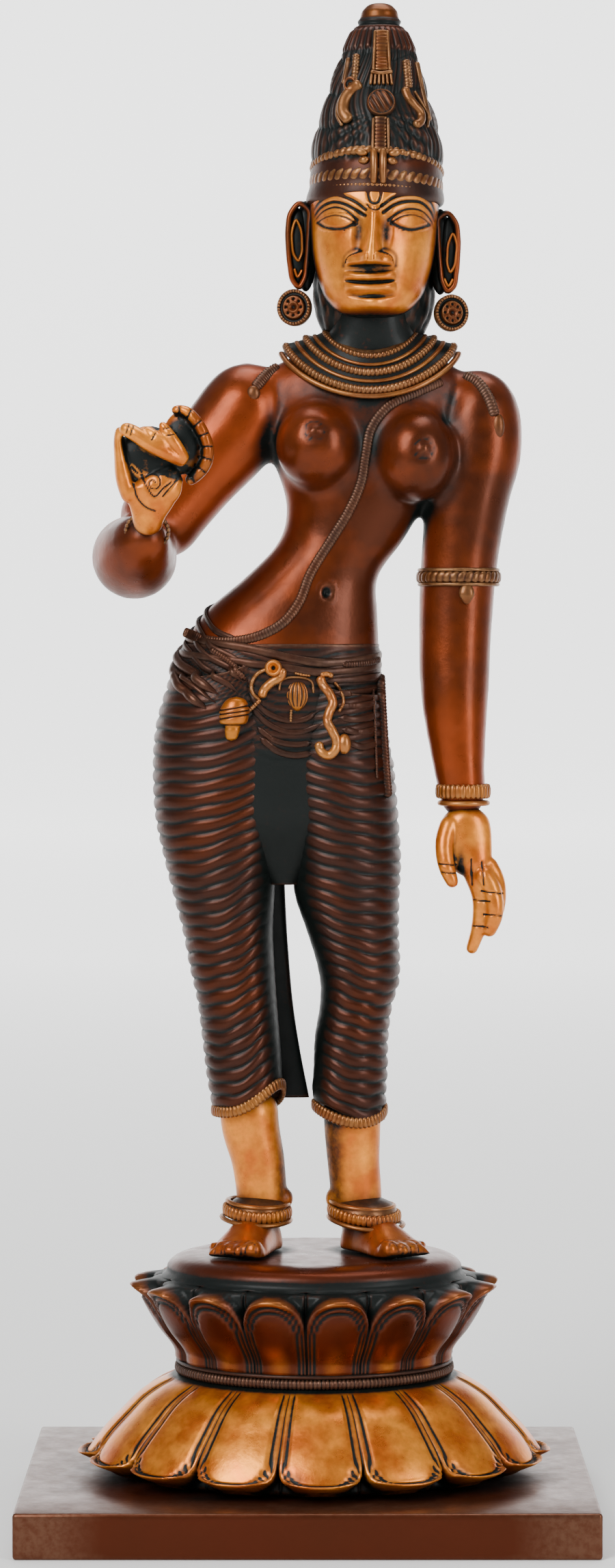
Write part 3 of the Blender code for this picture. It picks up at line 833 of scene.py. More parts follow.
def head_surface(u, v):
    """The head as one sheet, with more columns at the face than behind."""
    turn = 2 * np.pi * (u - 0.5)
    angle = turn - 0.62 * np.sin(turn)
    cx, cy, half_width, half_depth, z = along(HEAD, v)
    x = cx + half_width * np.sin(angle)
    y = cy - half_depth * np.cos(angle)
    face = smoothstep(0.15, 0.5, np.cos(angle))
    xc = x - (21.8 - 1.3 * np.exp(-(((z - 328) / 12) ** 2)))
    lift = np.zeros(len(x))
    patina_and_shade = np.zeros(len(x))
    # Sockets, then the lids and the incised lines
    for lines, middle in zip(EYES, (9.4, 34.4)):
        socket = np.hypot((x - middle) / 9.5, (z - 346.4) / 6.5)
        lift -= 1.3 * bell(socket, 1.25)
        ball = np.hypot((x - middle) / 6.9, (z - 344.6) / 3.1)
        lift += 1.7 * np.sqrt(np.clip(1 - ball**2, 0, 1))
        lid = np.hypot((x - middle) / 7.6, (z - 347.2) / 2.6)
        lift += 0.7 * bell(lid, 1.2)
        middle_line = [((a + c) / 2, (b + d) / 2) for (a, b), (c, d) in zip(lines["brow_top"], lines["brow_low"])]
        lift += 0.55 * bell(from_line(x, z, middle_line), 1.5)
        inward, dark = scored(x, z, [
            (lines["brow_top"], 0.95, 0.75, 1.1),
            (lines["brow_low"], 0.85, 0.75, 1.1),
            (lines["lid_top"], 0.75, 0.5, 0.75),
            (lines["eye_top"], 0.5, 0.4, 1.1),
            (lines["eye_low"], 0.95, 0.7, 1.2),
        ])
        lift -= inward
        patina_and_shade += dark
    # Nose: a straight ridge with two round wings
    ridge_width = 1.5 + 1.2 * smoothstep(341, 331.5, z)
    height = 2.2 + 3.4 * smoothstep(349, 332, z)
    under = smoothstep(329.9, 331.0, z)
    bridge = smoothstep(352.5, 346.5, z)
    lift += height * bridge * under * np.exp(-np.abs(xc / ridge_width) ** 3 * 0.8)
    for side, size in ((-1, 3.5), (1, 3.2)):
        wing = (
            np.abs((xc - side * 4.4) / size) ** 3 + np.abs((z - 331.6 + 0.28 * (side * xc - 4.4)) / 2.5) ** 3
        ) ** (1 / 3)
        lift += 2.6 * np.sqrt(np.clip(1 - wing**2, 0, 1)) * under
    beside = np.hypot((np.abs(xc) - 4.4) / 2.5, (z - 341.8) / 8.0)
    lift -= 1.2 * bell(beside, 1.2)
    # Painted shade with patina in the hollows beside the nose
    patina_and_shade += 0.7 * bell(beside, 1.0)
    for side in (-1, 1):
        patina_and_shade += 0.6 * bell(
            from_line(side * xc, z, [(8.7, 330.0), (8.5, 333.2), (6.6, 335.0), (4.0, 335.4), (2.9, 334.2)]),
            1.0,
        )
    # Mouth: two block lips with a dark line between them
    across = np.clip(1 - (np.abs(xc) / 8.6) ** 6, 0, 1)
    lip_line = 324.6 + 0.010 * xc**2
    philtrum = bell(z - 329.0, 1.6) * across
    lift -= 0.6 * philtrum
    patina_and_shade += 0.4 * bell(z - 329.1, 1.4) * across
    lift += 1.5 * bell(z - lip_line - 1.75, 1.7) * across
    lift += 1.9 * bell(z - lip_line + 2.0, 2.0) * across
    for height_of, width, depth, dark in (
        (lip_line, 0.8, 0.9, 1.0), (lip_line - 4.6, 1.3, 0.9, 0.5), (lip_line + 1.9, 0.28, 0.2, 0.4),
    ):
        cut = bell(z - height_of, width) * across
        lift -= depth * cut
        patina_and_shade += dark * cut
    # Painted shade in the creases at the corners of the mouth
    patina_and_shade += 0.35 * bell(np.hypot((np.abs(xc) - 8.9) / 1.6, (z - 327.5) / 5.0), 1.2)
    lift += 1.7 * bell(np.hypot((xc - 0.6) / 5.4, (z - 317.4) / 2.9), 1.2)
    # Forehead mark: a long loop over a small crescent
    inward, dark = scored(x, z, FOREHEAD_MARK)
    lift -= inward
    patina_and_shade += dark
    y = y - lift * face
    gold = smoothstep(0.16, 0.42, np.cos(angle)) * smoothstep(314.2, 317.5, z)
    # Patina and painted shade on the sides and back of the head, and painted shade under the chin
    patina_and_shade = patina_and_shade * face + 0.9 * (1 - smoothstep(0.05, 0.28, np.cos(angle))) + smoothstep(316, 313.8, z)
    return np.stack([x, y, z], 1), gold, patina_and_shade


def ear_sheets():
    """Two long ears: a dark root and hollow with patina and painted shade, a leaf-shaped rim,
    an inner loop and a drooping lobe.
    """
    right = {
        "root": (-0.6, 0.5, 338.5, 3.9, 3.4, 15.2),
        "hollow": (-3.3, -1.4, 338.4, 3.3, 2.2, 12.8),
        "rim": [
            (0.4, 350.5), (-2.6, 352.4), (-5.4, 349.6), (-6.5, 344), (-6.4, 338), (-5.8, 331.5),
            (-4.6, 326.4), (-2.8, 324.6), (-1.2, 326.8), (-0.2, 332.5), (0.3, 339), (0.6, 345),
        ],
        "loop": [
            (-3.7, 346.8), (-5.0, 343.6), (-5.1, 339.2), (-4.2, 334.8), (-3.0, 333.4), (-2.0, 335.2),
            (-1.7, 339.4), (-2.2, 344),
        ],
        "lobe": [(-4.4, 330.8), (-3.2, 328.0), (-1.6, 330.4)],
    }
    left = {
        "root": (44.6, 0.5, 336.6, 3.9, 3.4, 14.4),
        "hollow": (47.5, -1.4, 336.2, 3.2, 2.2, 12.0),
        "rim": [
            (43.8, 347.6), (46.6, 349.2), (49.4, 346.4), (50.4, 341), (50.3, 335), (49.8, 329), (48.8, 324.6),
            (47.0, 323.2), (45.4, 325.6), (44.4, 331), (43.9, 337), (43.6, 343),
        ],
        "loop": [
            (48.6, 342.2), (49.8, 339.4), (49.7, 335), (48.9, 331), (47.8, 329.6), (46.9, 331.4),
            (46.7, 335.4), (47.3, 339.8),
        ],
        "lobe": [(45.6, 327.6), (47.2, 324.9), (48.8, 327.4)],
    }
    sheets = []
    for ear in (right, left):
        # Root and hollow: patina and painted shade
        sheets.append(egg(*ear["root"], 24, 30, 0, 1.0))
        sheets.append(egg(*ear["hollow"], 24, 30, 0, 1.0))
        sheets.append(limb([(x, -3.0, z, 1.0, 1.5) for x, z in ear["rim"]], 10, 110, gold=0.05, closed=True))
        sheets.append(limb([(x, -3.5, z, 0.6, 1.1) for x, z in ear["loop"]], 8, 80, gold=0.35, closed=True))
        sheets.append(limb([(x, -3.6, z, 0.55, 0.9) for x, z in ear["lobe"]], 10, 30, gold=0.4))
    return sheets


# Strips on the crown: (across, height) path, half width, depth, lift, points, columns, rows, options
RIBBED = {"pitch": 1.2, "ribs": 0.2}
TEXTURED = {"blunt": 0.3, "square": 0.6}
CROWN_STRIPS = [
    (
        [(24.6, 409.0), (24.6, 395.0)], 2.5, 1.0, 0.2, 12, 16, 66,
        {"gold": 0.1, "pitch": 1.3, "ribs": 0.14, **TEXTURED},
    ),
    ([(22.5, 409.0), (21.8, 395.0)], 0.55, 0.8, 0.9, 12, 8, 40, {"gold": 0.1}),
    ([(26.7, 409.0), (27.3, 395.0)], 0.55, 0.8, 0.9, 12, 8, 40, {"gold": 0.1}),
    ([(20.8, 394.8), (24.4, 394.2), (28.2, 394.8)], 0.7, 1.0, 0.9, 10, 10, 30, {"gold": 0.1}),
    ([(24.2, 379.5), (24.0, 368.0)], 2.2, 1.0, 0.2, 10, 16, 50, {"pitch": 1.25, "ribs": 0.16, **TEXTURED}),
    ([(21.8, 379.0), (21.4, 368.0)], 0.55, 0.7, 0.7, 8, 8, 30, {}),
    ([(26.6, 379.0), (26.8, 368.0)], 0.55, 0.7, 0.7, 8, 8, 30, {}),
    ([(16.4, 401.4), (15.6, 391.8)], 1.3, 1.0, 0.3, 10, 10, 60, RIBBED),
    ([(13.8, 400.4), (12.2, 391.0)], 1.0, 0.9, 0.2, 10, 10, 40, {}),
    ([(32.8, 399.4), (33.6, 389.4)], 1.5, 1.0, 0.3, 10, 10, 60, RIBBED),
    ([(36.4, 399.4), (38.4, 389.0), (40.6, 379)], 1.0, 0.9, 0.2, 14, 10, 50, {}),
    (
        [(17.8, 391.2), (14.6, 388.8), (12.2, 385.2), (12.0, 381.0), (14.2, 378.0)], 2.0, 1.4, 0.5, 20, 14,
        60, {"gold": 0.12},
    ),
    ([(12.6, 389.0), (10.4, 385.0), (9.8, 380.6), (11.6, 376.6)], 0.6, 0.8, 0.3, 16, 8, 40, {}),
    (
        [(32.2, 390.0), (33.4, 386.4), (35.4, 384.0), (37.6, 381.2), (37.4, 378.2), (35.4, 376.8)], 1.5, 1.4,
        0.5, 20, 14, 60, {"gold": 0.12},
    ),
    ([(35.4, 389.0), (38.0, 385.0), (40.2, 380.6), (39.8, 376.6)], 0.6, 0.8, 0.3, 16, 8, 40, {}),
]
# The hanging threads of the ribbon's end, fanned about its middle
RIBBON_MIDDLE, THREADS = 24.4, [21.3 + 1.25 * i for i in range(6)]


class STATUE_OT_crown(PieceOperator):
    """Carve the tall crown, its ornaments and the band at its foot"""

    bl_idname = "statue.crown"
    bl_label = "Crown"

    def execute(self, context):
        look = self.finish_of(context)
        dress(carve("crown", [(190, 164, crown_surface)]), look["crown"])
        dress(carve("hair_at_nape", [(84, 66, nape_surface)]), look["crown"])
        ground = Ground("crown")
        pitch = self.sizes(context).bead_pitch / UNIT
        sheets = on_strips(ground, CROWN_STRIPS)
        for x in THREADS:
            thread = ground.laid(
                [(x, 394.2), (x + (x - RIBBON_MIDDLE) * 0.16, 390.2)], 0.52, 0.9, lift=0.5, count=6,
            )
            sheets.append(limb(thread, 8, 16, gold=0.1))
        eye_y = ground.front(14.2, 390.8, -10)[0]
        sheets.append(medallion(14.2, eye_y - 0.6, 390.6, 2.3, 0.5, (-0.15, -1, 0.3), curl_eye, 32, 16, 0.1, 1.25))
        boss_y, _ = ground.front(24.2, 383.6, -19)
        sheets.append(medallion(24.4, boss_y + 0.6, 383.8, 4.9, 1.0, (0, -1, 0.32), boss_relief, 96, 40, 0.05))
        sheets += diadem_sheets(pitch)
        dress(carve("crown_ornaments", sheets), look["jewel"])
        return {"FINISHED"}


def crown_surface(u, v):
    """Matted locks drawn up into tiers, a fluted fringe, a ring and a smooth cap."""
    turn = 2 * np.pi * (u - 0.5)
    angle = turn - 0.35 * np.sin(turn)
    cx, cy, half_width, half_depth, z = along(CROWN, v)
    lift = np.zeros(len(u))
    patina_and_shade = np.zeros(len(u))
    locks = 13
    body = smoothstep(364, 367, z) * smoothstep(404.5, 401.5, z)
    wave = angle * locks / 2 + 0.6 * np.sin(z / 6.0)
    lift += body * (0.95 * np.abs(np.sin(wave)) ** 0.6 - 0.5)
    tiers = np.abs(np.sin(np.pi * (z - 366) / 11.4 + 0.35 * np.sin(angle * 5)))
    lift += body * (0.7 + 0.5 * smoothstep(0.9, 1.5, np.abs(angle))) * (tiers**0.5 - 0.7)
    strands = np.sin(wave * 8 + 0.8 * np.sin(z / 3.2))
    lift += body * 0.16 * strands
    patina_and_shade += body * (0.55 * (1 - tiers) ** 3 + 0.25 * np.clip(-strands, 0, 1))
    # Feather fans low on each side of the stem
    fan = smoothstep(364, 367, z) * smoothstep(382, 378, z) * bell(np.abs(angle) - 0.62, 0.62)
    rays = np.sin(26 * np.arctan2(z - 382, np.abs(angle) * 20 + 2))
    lift += fan * 0.35 * rays
    patina_and_shade += fan * 0.5 * np.clip(-rays, 0, 1)
    # Fluted fringe under the ring
    fringe = smoothstep(402.6, 404.4, z) * smoothstep(411.0, 409.6, z)
    flute = np.abs(np.sin(angle * 14))
    lift += fringe * (1.0 * flute**0.6 - 0.15)
    patina_and_shade += fringe * 0.9 * (1 - flute) ** 2
    patina_and_shade += 0.9 * bell(z - 402.0, 1.0) + 0.8 * bell(z - 411.6, 0.5) + 0.9 * bell(z - 413.9, 0.5)
    ring = smoothstep(411.6, 412.2, z) * smoothstep(413.9, 413.3, z)
    patina_and_shade += ring * 0.75
    plain = smoothstep(364, 360, z)
    patina_and_shade += 0.4 * plain + body * (0.5 + 0.35 * bell(angle, 1.0))
    x = cx + (half_width + lift) * np.sin(angle)
    y = cy - (half_depth + lift) * np.cos(angle)
    gold = 0.12 * smoothstep(413.8, 415.0, z)
    return np.stack([x, y, z], 1), gold * np.ones(len(u)), patina_and_shade


def nape_surface(u, v):
    """Hair gathered in ringlets at the nape and behind the ears."""
    turn, tilt = 2 * np.pi * (u - 0.25), np.pi * v
    locks = np.abs(np.sin(turn * 9 + 0.5 * np.sin(v * 26)))
    curl = np.abs(np.sin(v * 34 + 2.0 * np.sin(turn * 9)))
    lift = (0.9 * locks**0.6 + 0.35 * curl - 0.7) * np.sin(tilt) ** 0.5
    x = 22.4 + (20.4 + lift) * np.sin(tilt) * np.cos(turn)
    y = 5.5 + (16.1 + lift) * np.sin(tilt) * np.sin(turn)
    z = 324 - 25.6 * np.cos(tilt)
    patina_and_shade = 0.7 + 0.3 * (1 - locks)
    return np.stack([x, y, z], 1), np.zeros(len(u)), patina_and_shade


def boss_relief(turn, share):
    """A round boss cut by slanting lines, with a raised rim."""
    cross, up = share * np.cos(turn), share * np.sin(turn)
    hatch = np.sin(15 * (cross * 0.9 + up * 0.5)) * (share < 0.82)
    height = 1.5 * np.sqrt(np.clip(1 - share**2, 0, 1)) + 0.22 * hatch + 0.5 * bell(share - 0.9, 0.09)
    return height, 0.7 * np.clip(-hatch, 0, 1) + 0.7 * bell(share - 0.8, 0.06)


def curl_eye(turn, share):
    height = 0.8 * bell(share - 0.75, 0.35) + 0.6 * bell(share, 0.35)
    return height, 0.9 * bell(share - 0.42, 0.25)


def ringed(
    middle_x, middle_y, half_width, half_depth, height, front_drop=0.0, fall=0.0, section=(1.0, 1.0),
    power=1.5, steps=48,
):
    """A closed limb path round the body, lower at the front by its drop."""
    path = []
    for i in range(steps):
        a = 2 * math.pi * (i + 0.5) / steps + math.pi / 2
        z = height - front_drop * max(0.0, -math.sin(a)) ** power - fall * math.cos(a)
        path.append((middle_x + half_width * math.cos(a), middle_y + half_depth * math.sin(a), z, *section))
    return path


def around(middle_x, middle_y):
    """Directions straight out from an upright axis."""

    def outward(centres):
        out = centres - np.array([middle_x, middle_y, 0])
        out[:, 2] = 0
        return out / np.maximum(np.linalg.norm(out, axis=1), 1e-6)[:, None]

    return outward


def diadem_sheets(pitch):
    """The slanted rope, the leaf band and the bead row over the forehead."""
    out = around(23, 0)
    rope = ringed(23.3, 0, 21.1, 22.8, 363.6, -4.6, 0.8, (1.7, 1.6), 1.2)
    band = ringed(23.1, -0.4, 21.6, 23.8, 358.8, -1.4, 0.8, (2.2, 0.9), 1.2)
    beads = ringed(22.9, -0.8, 21.3, 23.6, 355.2, -1.4, 0.8, (0.8, 0.8), 1.2)
    sheets = [
        limb(rope, 12, 340, gold=0.15, outward=out, pitch=2.2, ribs=0.26, slant=0.3, closed=True),
        limb(band, 12, 320, gold=0.1, outward=out, pitch=3.1, ribs=0.4, slant=0.5, closed=True, square=0.7),
        limb(beads, 7, 480, gold=0.2, outward=out, pitch=pitch, ribs=0.5, closed=True),
    ]
    for x, lean in ((21.8, 0.1), (25.0, -0.1)):
        clasp = [
            (x, -23.6, 368.6, 1.1, 1.2), (x + lean, -25.0, 364.6, 1.3, 1.5),
            (x + lean, -25.2, 360.6, 1.2, 1.4), (x, -24.8, 356.8, 1.0, 1.2),
        ]
        sheets.append(limb(clasp, 12, 40, gold=0.3))
    for x, z, dx, dz in (
        (19.8, 366.8, -4.4, 1.2), (26.8, 366.6, 4.4, 1.0), (20.4, 365.0, -3.6, -0.6),
        (26.2, 364.8, 3.6, -0.8),
    ):
        leaf = [
            (x, -24.4, z, 0.7, 0.8), (x + dx / 2, -24.2, z + dz / 2, 1.3, 1.2),
            (x + dx, -23.4, z + dz, 0.5, 0.6),
        ]
        sheets.append(limb(leaf, 10, 30, gold=0.35))
    return sheets


def rings(table):
    """The closed rings of a table of axes, each with its rings' paths, columns, rows and options."""
    return [
        limb(ringed(*place, section=section), columns, rows, outward=around(*axis), closed=True, **options)
        for axis, rows_of_axis in table
        for place, section, columns, rows, options in rows_of_axis
    ]


BAND = {"pitch": 1.7, "ribs": 0.3}
# Rings by their axis: middle across, middle back, half width, half depth, height, then for the
# anklets the drop ahead and the fall to the side; half width and depth of the metal, columns, rows
ARM_RINGS = [
    (
        (50.9, -0.5), [
            (
                (50.9, -0.5, 13.3, 13.1, 227.4), (1.9, 1.1), 14, 260,
                {"gold": 0.05, "pitch": 2.4, "ribs": 0.25, "slant": 0.3, "square": 0.8},
            ),
            ((50.9, -0.5, 13.1, 12.9, 229.8), (0.7, 0.8), 8, 160, {}),
            ((50.9, -0.5, 13.1, 12.9, 225.0), (0.7, 0.8), 8, 160, {}),
        ],
    ),
]
WRIST_RINGS = [
    (
        (52.6, -6), [
            ((52.3, -5.5, 8.2, 8.0, 155.6), (2.5, 1.2), 14, 260, {"gold": 0.5, "square": 0.7, **BAND}),
            ((52.5, -5.8, 7.9, 7.7, 151.6), (0.9, 1.0), 10, 160, {"gold": 0.7}),
        ],
    ),
]
ANKLET_RINGS = [
    (
        (-16.6, 2.4), [
            (
                (-17.0, 1.4, 10.8, 11.4, 13.2, 1.2, 0.6), (2.1, 1.1), 12, 330,
                {"gold": 0.5, "square": 0.8, **BAND},
            ),
            ((-16.8, 1.8, 10.2, 10.6, 16.0, 0.8, 0.6), (0.8, 0.9), 8, 200, {"gold": 0.4}),
            ((-17.4, 1.0, 11.6, 12.0, 10.6, 1.2, 0.6), (0.8, 0.9), 8, 200, {"gold": 0.3}),
        ],
    ),
    (
        (19, 2.4), [
            (
                (19.2, 1.0, 11.6, 12.2, 12.6, 1.4, 1.2), (2.0, 1.1), 12, 340,
                {"gold": 0.5, "square": 0.8, **BAND},
            ),
            ((18.6, 1.6, 10.6, 11.0, 15.6, 0.8, 0.9), (0.8, 0.9), 8, 200, {"gold": 0.4}),
            ((19.8, 0.6, 12.6, 12.8, 9.9, 1.6, 1.4), (0.8, 0.9), 8, 200, {"gold": 0.3}),
        ],
    ),
]


class STATUE_OT_jewellery(PieceOperator):
    """Lay the earrings, collar, thread, straps and bracelets on the body"""

    bl_idname = "statue.jewellery"
    bl_label = "Jewellery"

    def execute(self, context):
        look = self.finish_of(context)
        pitch = self.sizes(context).bead_pitch / UNIT
        ground = Ground("bare_body", "cloth_at_hips")
        for side, (x, z, turn) in {"right": (-4.3, 317.6, -0.22), "left": (48.1, 315.8, 0.22)}.items():
            sheets = [
                medallion(x, -3.4, z, 5.8, 1.6, (turn, -1, 0.05), rosette, 110, 36, 0.1, 1.06),
                egg(x, -1.0, z, 5.2, 2.4, 5.6, 32, 20, 0, 0.7),
            ]
            dress(carve(f"earring_{side}", sheets), look["jewel"])
        dress(carve("collar", collar_sheets(pitch)), look["jewel"])

        thread = [
            (45.1, 292.9), (36, 288.6), (26.6, 283.7), (21.2, 276.5), (19.4, 268), (17.8, 258.8), (13.6, 249),
            (8.0, 239.9), (0.8, 228.1), (-3.2, 218.3), (-8.2, 212.1), (-15.0, 208.2), (-25.5, 205.9),
            (-34.0, 206.3), (-41, 209),
        ]
        cord = ground.laid(thread, 1.7, 0.9, lift=0.1, count=90)
        dress(
            carve("sacred_thread", [limb(cord, 12, 760, pitch=1.05, ribs=0.16, slant=0.25, square=0.7)]),
            look["crown"],
        )

        right = ground.laid([(-9.4, 298), (-13.0, 295.6), (-17.6, 290.4)], 2.0, 1.1, lift=0, count=20)
        left = ground.laid([(52.4, 295), (56.6, 292.6), (60.4, 287), (62.6, 281)], 2.0, 1.1, lift=0, count=24)
        drop_y = ground.front(63.6, 277.6, -10)[0]
        knot_y = ground.front(-18, 288.6, -10)[0]
        sheets = [
            limb(right, 12, 90, pitch=1.1, ribs=0.2),
            limb(left, 12, 110, pitch=1.1, ribs=0.2),
            egg(-18.1, knot_y + 0.6, 288.4, 2.3, 1.6, 2.8, 20, 14, 0.1),
            egg(63.6, drop_y + 0.8, 277.6, 2.2, 1.6, 4.4, 20, 18, 0.1),
        ]
        dress(carve("shoulder_straps", sheets), look["crown"])

        sheets = rings(ARM_RINGS)
        armband_drop = [
            (53.1, -12.8, 225, 1.6, 0.9), (53.1, -13.5, 221.7, 2.6, 1.2), (53.1, -13.2, 218.2, 0.8, 0.6),
        ]
        sheets.append(limb(armband_drop, 14, 30, gold=0.1))
        sheets += rings(WRIST_RINGS)
        wrist = []
        for i in range(24):
            a = 2 * math.pi * i / 24
            wrist.append(
                (-52.4 + 6.9 * math.cos(a), -43.2 - 2.2 * math.sin(a), 241.8 + 6.0 * math.sin(a), 0.7, 0.7)
            )
        sheets.append(
            limb(
                wrist, 8, 200, outward=lambda c: c - np.array([-52.4, -43.2, 241.8]), pitch=1.5, ribs=0.4,
                closed=True,
            )
        )
        dress(carve("bracelets", sheets), look["jewel"])
        return {"FINISHED"}


def rosette(turn, share):
    """A ribbed rim, a plain dark channel, and a disc with eight holes round a hollow."""
    rim = (share > 0.8) * np.abs(np.sin(turn * 17)) ** 0.5
    holes = np.hypot(share - 0.44, 0.44 * (np.abs(((turn * 8 / (2 * np.pi)) % 1) - 0.5) - 0.5) * 2 * np.pi / 8)
    height = 0.9 * smoothstep(
        0.66, 0.6, share,
    ) + 0.7 * rim * smoothstep(1.0, 0.93, share) - 0.6 * (share > 0.66) * (share < 0.8)
    height = height - 0.8 * bell(holes, 0.11) - 0.9 * bell(share, 0.2) + 0.3 * bell(share - 0.26, 0.07)
    patina_and_shade = 0.95 * bell(holes, 0.12) + 0.9 * bell(share, 0.2) + 0.9 * bell(share - 0.73, 0.09) + 0.8 * (share > 0.8) * (
        1 - np.abs(np.sin(turn * 17)) ** 0.5
    )
    return height, patina_and_shade


def collar_sheets(pitch):
    """Bead rows and plain rings stepping down from the neck to the breast."""
    out = around(21, 1)
    rows = [
        # half width, half depth, height at the back, front drop, section, beads
        (15.4, 13.8, 309.4, 8.4, (1.1, 0.9), pitch),
        (18.6, 14.8, 308.6, 10.6, (0.6, 0.8), 0),
        (21.6, 15.6, 307.6, 12.2, (1.45, 1.2), pitch),
        (24.6, 16.6, 306.4, 14.0, (0.65, 0.9), 0),
        (28.2, 17.5, 305.0, 15.5, (1.45, 1.2), pitch),
        (29.8, 17.6, 302.6, 15.2, (0.9, 1.0), 0),
    ]
    sheets = []
    for half_width, half_depth, height, drop, section, beads in rows:
        path = ringed(21, 1, half_width, half_depth, height, drop, 0, section)
        count = 760 if beads else 220
        gold = 0.12 if beads else 0.3
        sheets.append(limb(path, 9, count, gold=gold, outward=out, pitch=beads, ribs=0.3, closed=True, square=0.8))

    def bed(u, v):
        """The stepped bed under the rows, dark with patina and painted shade."""
        a = 2 * np.pi * u + np.pi / 2
        table = [
            (0, 11, 10, 303, 8), (0.15, 26.6, 15.6, 303.2, 15.4), (0.3, 29.6, 17.2, 305.2, 15.9),
            (0.5, 25.0, 16.4, 306.6, 13.8), (0.7, 19.0, 14.8, 308.4, 10.8), (0.85, 14.4, 13.2, 310.2, 7.4),
            (1, 11, 10, 308, 6),
        ]
        half_width, half_depth, height, drop = along(table, v)
        z = height - drop * np.clip(-np.sin(a), 0, 1) ** 1.5
        points = np.stack([21 + half_width * np.cos(a), 1 + half_depth * np.sin(a), z], 1)
        return points, np.zeros(len(u)), np.full(len(u), 0.9)

    sheets.append((120, 24, bed))
    return sheets


# Across the hips: how far the drape lines hang below level
SAG = [
    (-50, -21), (-44, -16.5), (-38, -11.5), (-30, -5.5), (-22, -0.5), (-14, 2.6), (-4, 4), (6, 3.2),
    (16, 1.2), (28, 0),
]


def drape(x, z):
    """Relief and patina of the fine folds of the waist cloth."""
    (sag,) = along(SAG, x)
    phase = (z + sag) / 3.0 + 0.08 * np.sin(x * 0.5)
    ridge = np.abs(np.sin(np.pi * phase)) ** 0.6
    return 0.85 * (ridge - 0.6), 0.35 + 0.9 * np.clip(1 - 1.5 * ridge, 0, 1)


def waist_cloth(u, v):
    """The cloth round the hips, with patina and painted shade between the thighs."""
    _, _, bare = trunk(HIPS, 0, 130)
    points, gold, _ = bare(u, v)
    x, y, z = points.T
    rise, patina_and_shade = drape(x, z)
    cx, cy = along(HIPS, z)[:2]
    out = np.stack([x - cx, y - cy], 1)
    length = np.linalg.norm(out, axis=1)[:, None]
    shown = smoothstep(164, 172, z) * smoothstep(205, 202, z)
    points[:, :2] += out / np.maximum(length, 1e-6) * (rise * shown * (length[:, 0] > 3))[:, None]
    # Patina in the folds; painted shade with patina low between the thighs
    patina_and_shade = np.maximum(patina_and_shade * shown, smoothstep(178, 166, z) * bell(x + 8, 22) * (y < 0) * 1.4)
    return points, gold, patina_and_shade


class STATUE_OT_skirt(PieceOperator):
    """Wrap the hips and legs in pleated cloth with its fine folds, and add the rear panel and the hem bands"""

    bl_idname = "statue.skirt"
    bl_label = "Skirt"

    def execute(self, context):
        look = self.finish_of(context)
        sizes = self.sizes(context)
        pitch, depth = sizes.pleat_pitch / UNIT, sizes.pleat_depth / UNIT
        hips = carve("cloth_at_hips", [(150, 116, waist_cloth)])
        dress(hips, look["cloth"])
        for name, table, inner, climb, power in (
            ("right_leg", RIGHT_LEG, 1, 15, 2.6), ("left_leg", LEFT_LEG, -1, 10, 2.4),
        ):
            leg = carve(name, [pleated(table, inner, climb, power, pitch, depth)])
            dress(leg, look["cloth"])
        dress(carve("rear_panel", [(64, 60, rear_panel)]), look["cloth"])
        hems = [
            limb(
                hem_path(RIGHT_LEG, 47.2, 1, 15, 2.6, 0), 12, 420, gold=0.3, outward=around(-20, 3),
                pitch=1.5, ribs=0.3, closed=True, square=0.8,
            ),
            limb(
                hem_path(LEFT_LEG, 47.6, -1, 3, 2.0, 4.2), 12, 420, gold=0.25, outward=around(15, 3),
                pitch=1.5, ribs=0.3, closed=True, square=0.8,
            ),
        ]
        dress(carve("hem_bands", hems), look["jewel"])
        return {"FINISHED"}


def leg_point(table, inner, climb, power, base, a, swell):
    """A point of a wrapped leg; the pleat lines climb at the front towards the other leg."""
    towards = (1 + inner * np.cos(a)) / 2
    front = (1 - np.sin(a)) / 2
    z = base + climb * towards**power * front
    x, y, half_width, half_depth = along(table, z)
    return x + (half_width + swell) * np.cos(a), y + (half_depth + swell) * np.sin(a), z


def pleated(table, inner, climb, power, pitch, depth):
    """A leg wrapped in pleats: a round ridge and a narrow cut at each pitch."""
    low, high = table[0][0], table[-1][0]
    rows = int(8.6 * (high - low) / pitch)

    def shape(u, v):
        a = 2 * np.pi * u + np.pi / 2
        edge = 1.5 / rows
        base = low + (high - low) * np.clip((v - edge) / (1 - 2 * edge), 0, 1)
        towards = (1 + inner * np.cos(a)) / 2
        wobble = 0.35 * np.sin(3.1 * a + base * 0.11) + 0.25 * np.sin(7.3 * a - base * 0.23)
        phase = (base + wobble) / pitch
        ridge = np.abs(np.sin(np.pi * phase)) ** 0.55
        second = np.clip(np.sin(2 * np.pi * phase + 0.9), 0, 1)
        fade = 1 - 0.9 * smoothstep(0.72, 0.97, towards)
        x0, _, z0 = leg_point(table, inner, climb, power, base, a, 0)
        if inner > 0:
            top = 196.5 - 0.80 * (x0 + 44)
            top = np.where(x0 < -20, top, 182)
        else:
            top = np.full(len(u), 168.0)
        fade = fade * smoothstep(top + 3, top - 4, z0)
        above = smoothstep(top - 4, top + 3, z0) * smoothstep(0.97, 0.85, towards)
        rise, stain = drape(x0, z0)
        swell = fade * depth * (ridge - 0.45 + 0.12 * second) - 0.25 * (1 - fade) + above * rise
        x, y, z = leg_point(table, inner, climb, power, base, a, swell)
        tip = np.where((v < edge / 2) | (v > 1 - edge / 2), 0.0, 1.0)
        cx, cy = along(table, z)[:2]
        points = np.stack([cx + tip * (x - cx), cy + tip * (y - cy), z], 1)
        # Patina in the pleat cuts; painted shade with patina on the front of the leg towards the other leg
        patina_and_shade = fade * np.clip(1.45 - ridge * 1.6, 0, 1) + 1.2 * smoothstep(0.74, 0.96, towards) * smoothstep(
            0.75, 0.2, np.sin(a) * 0.5 + 0.5,
        )
        patina_and_shade = patina_and_shade + above * stain
        return points, np.zeros(len(u)), patina_and_shade

    return 96, rows, shape


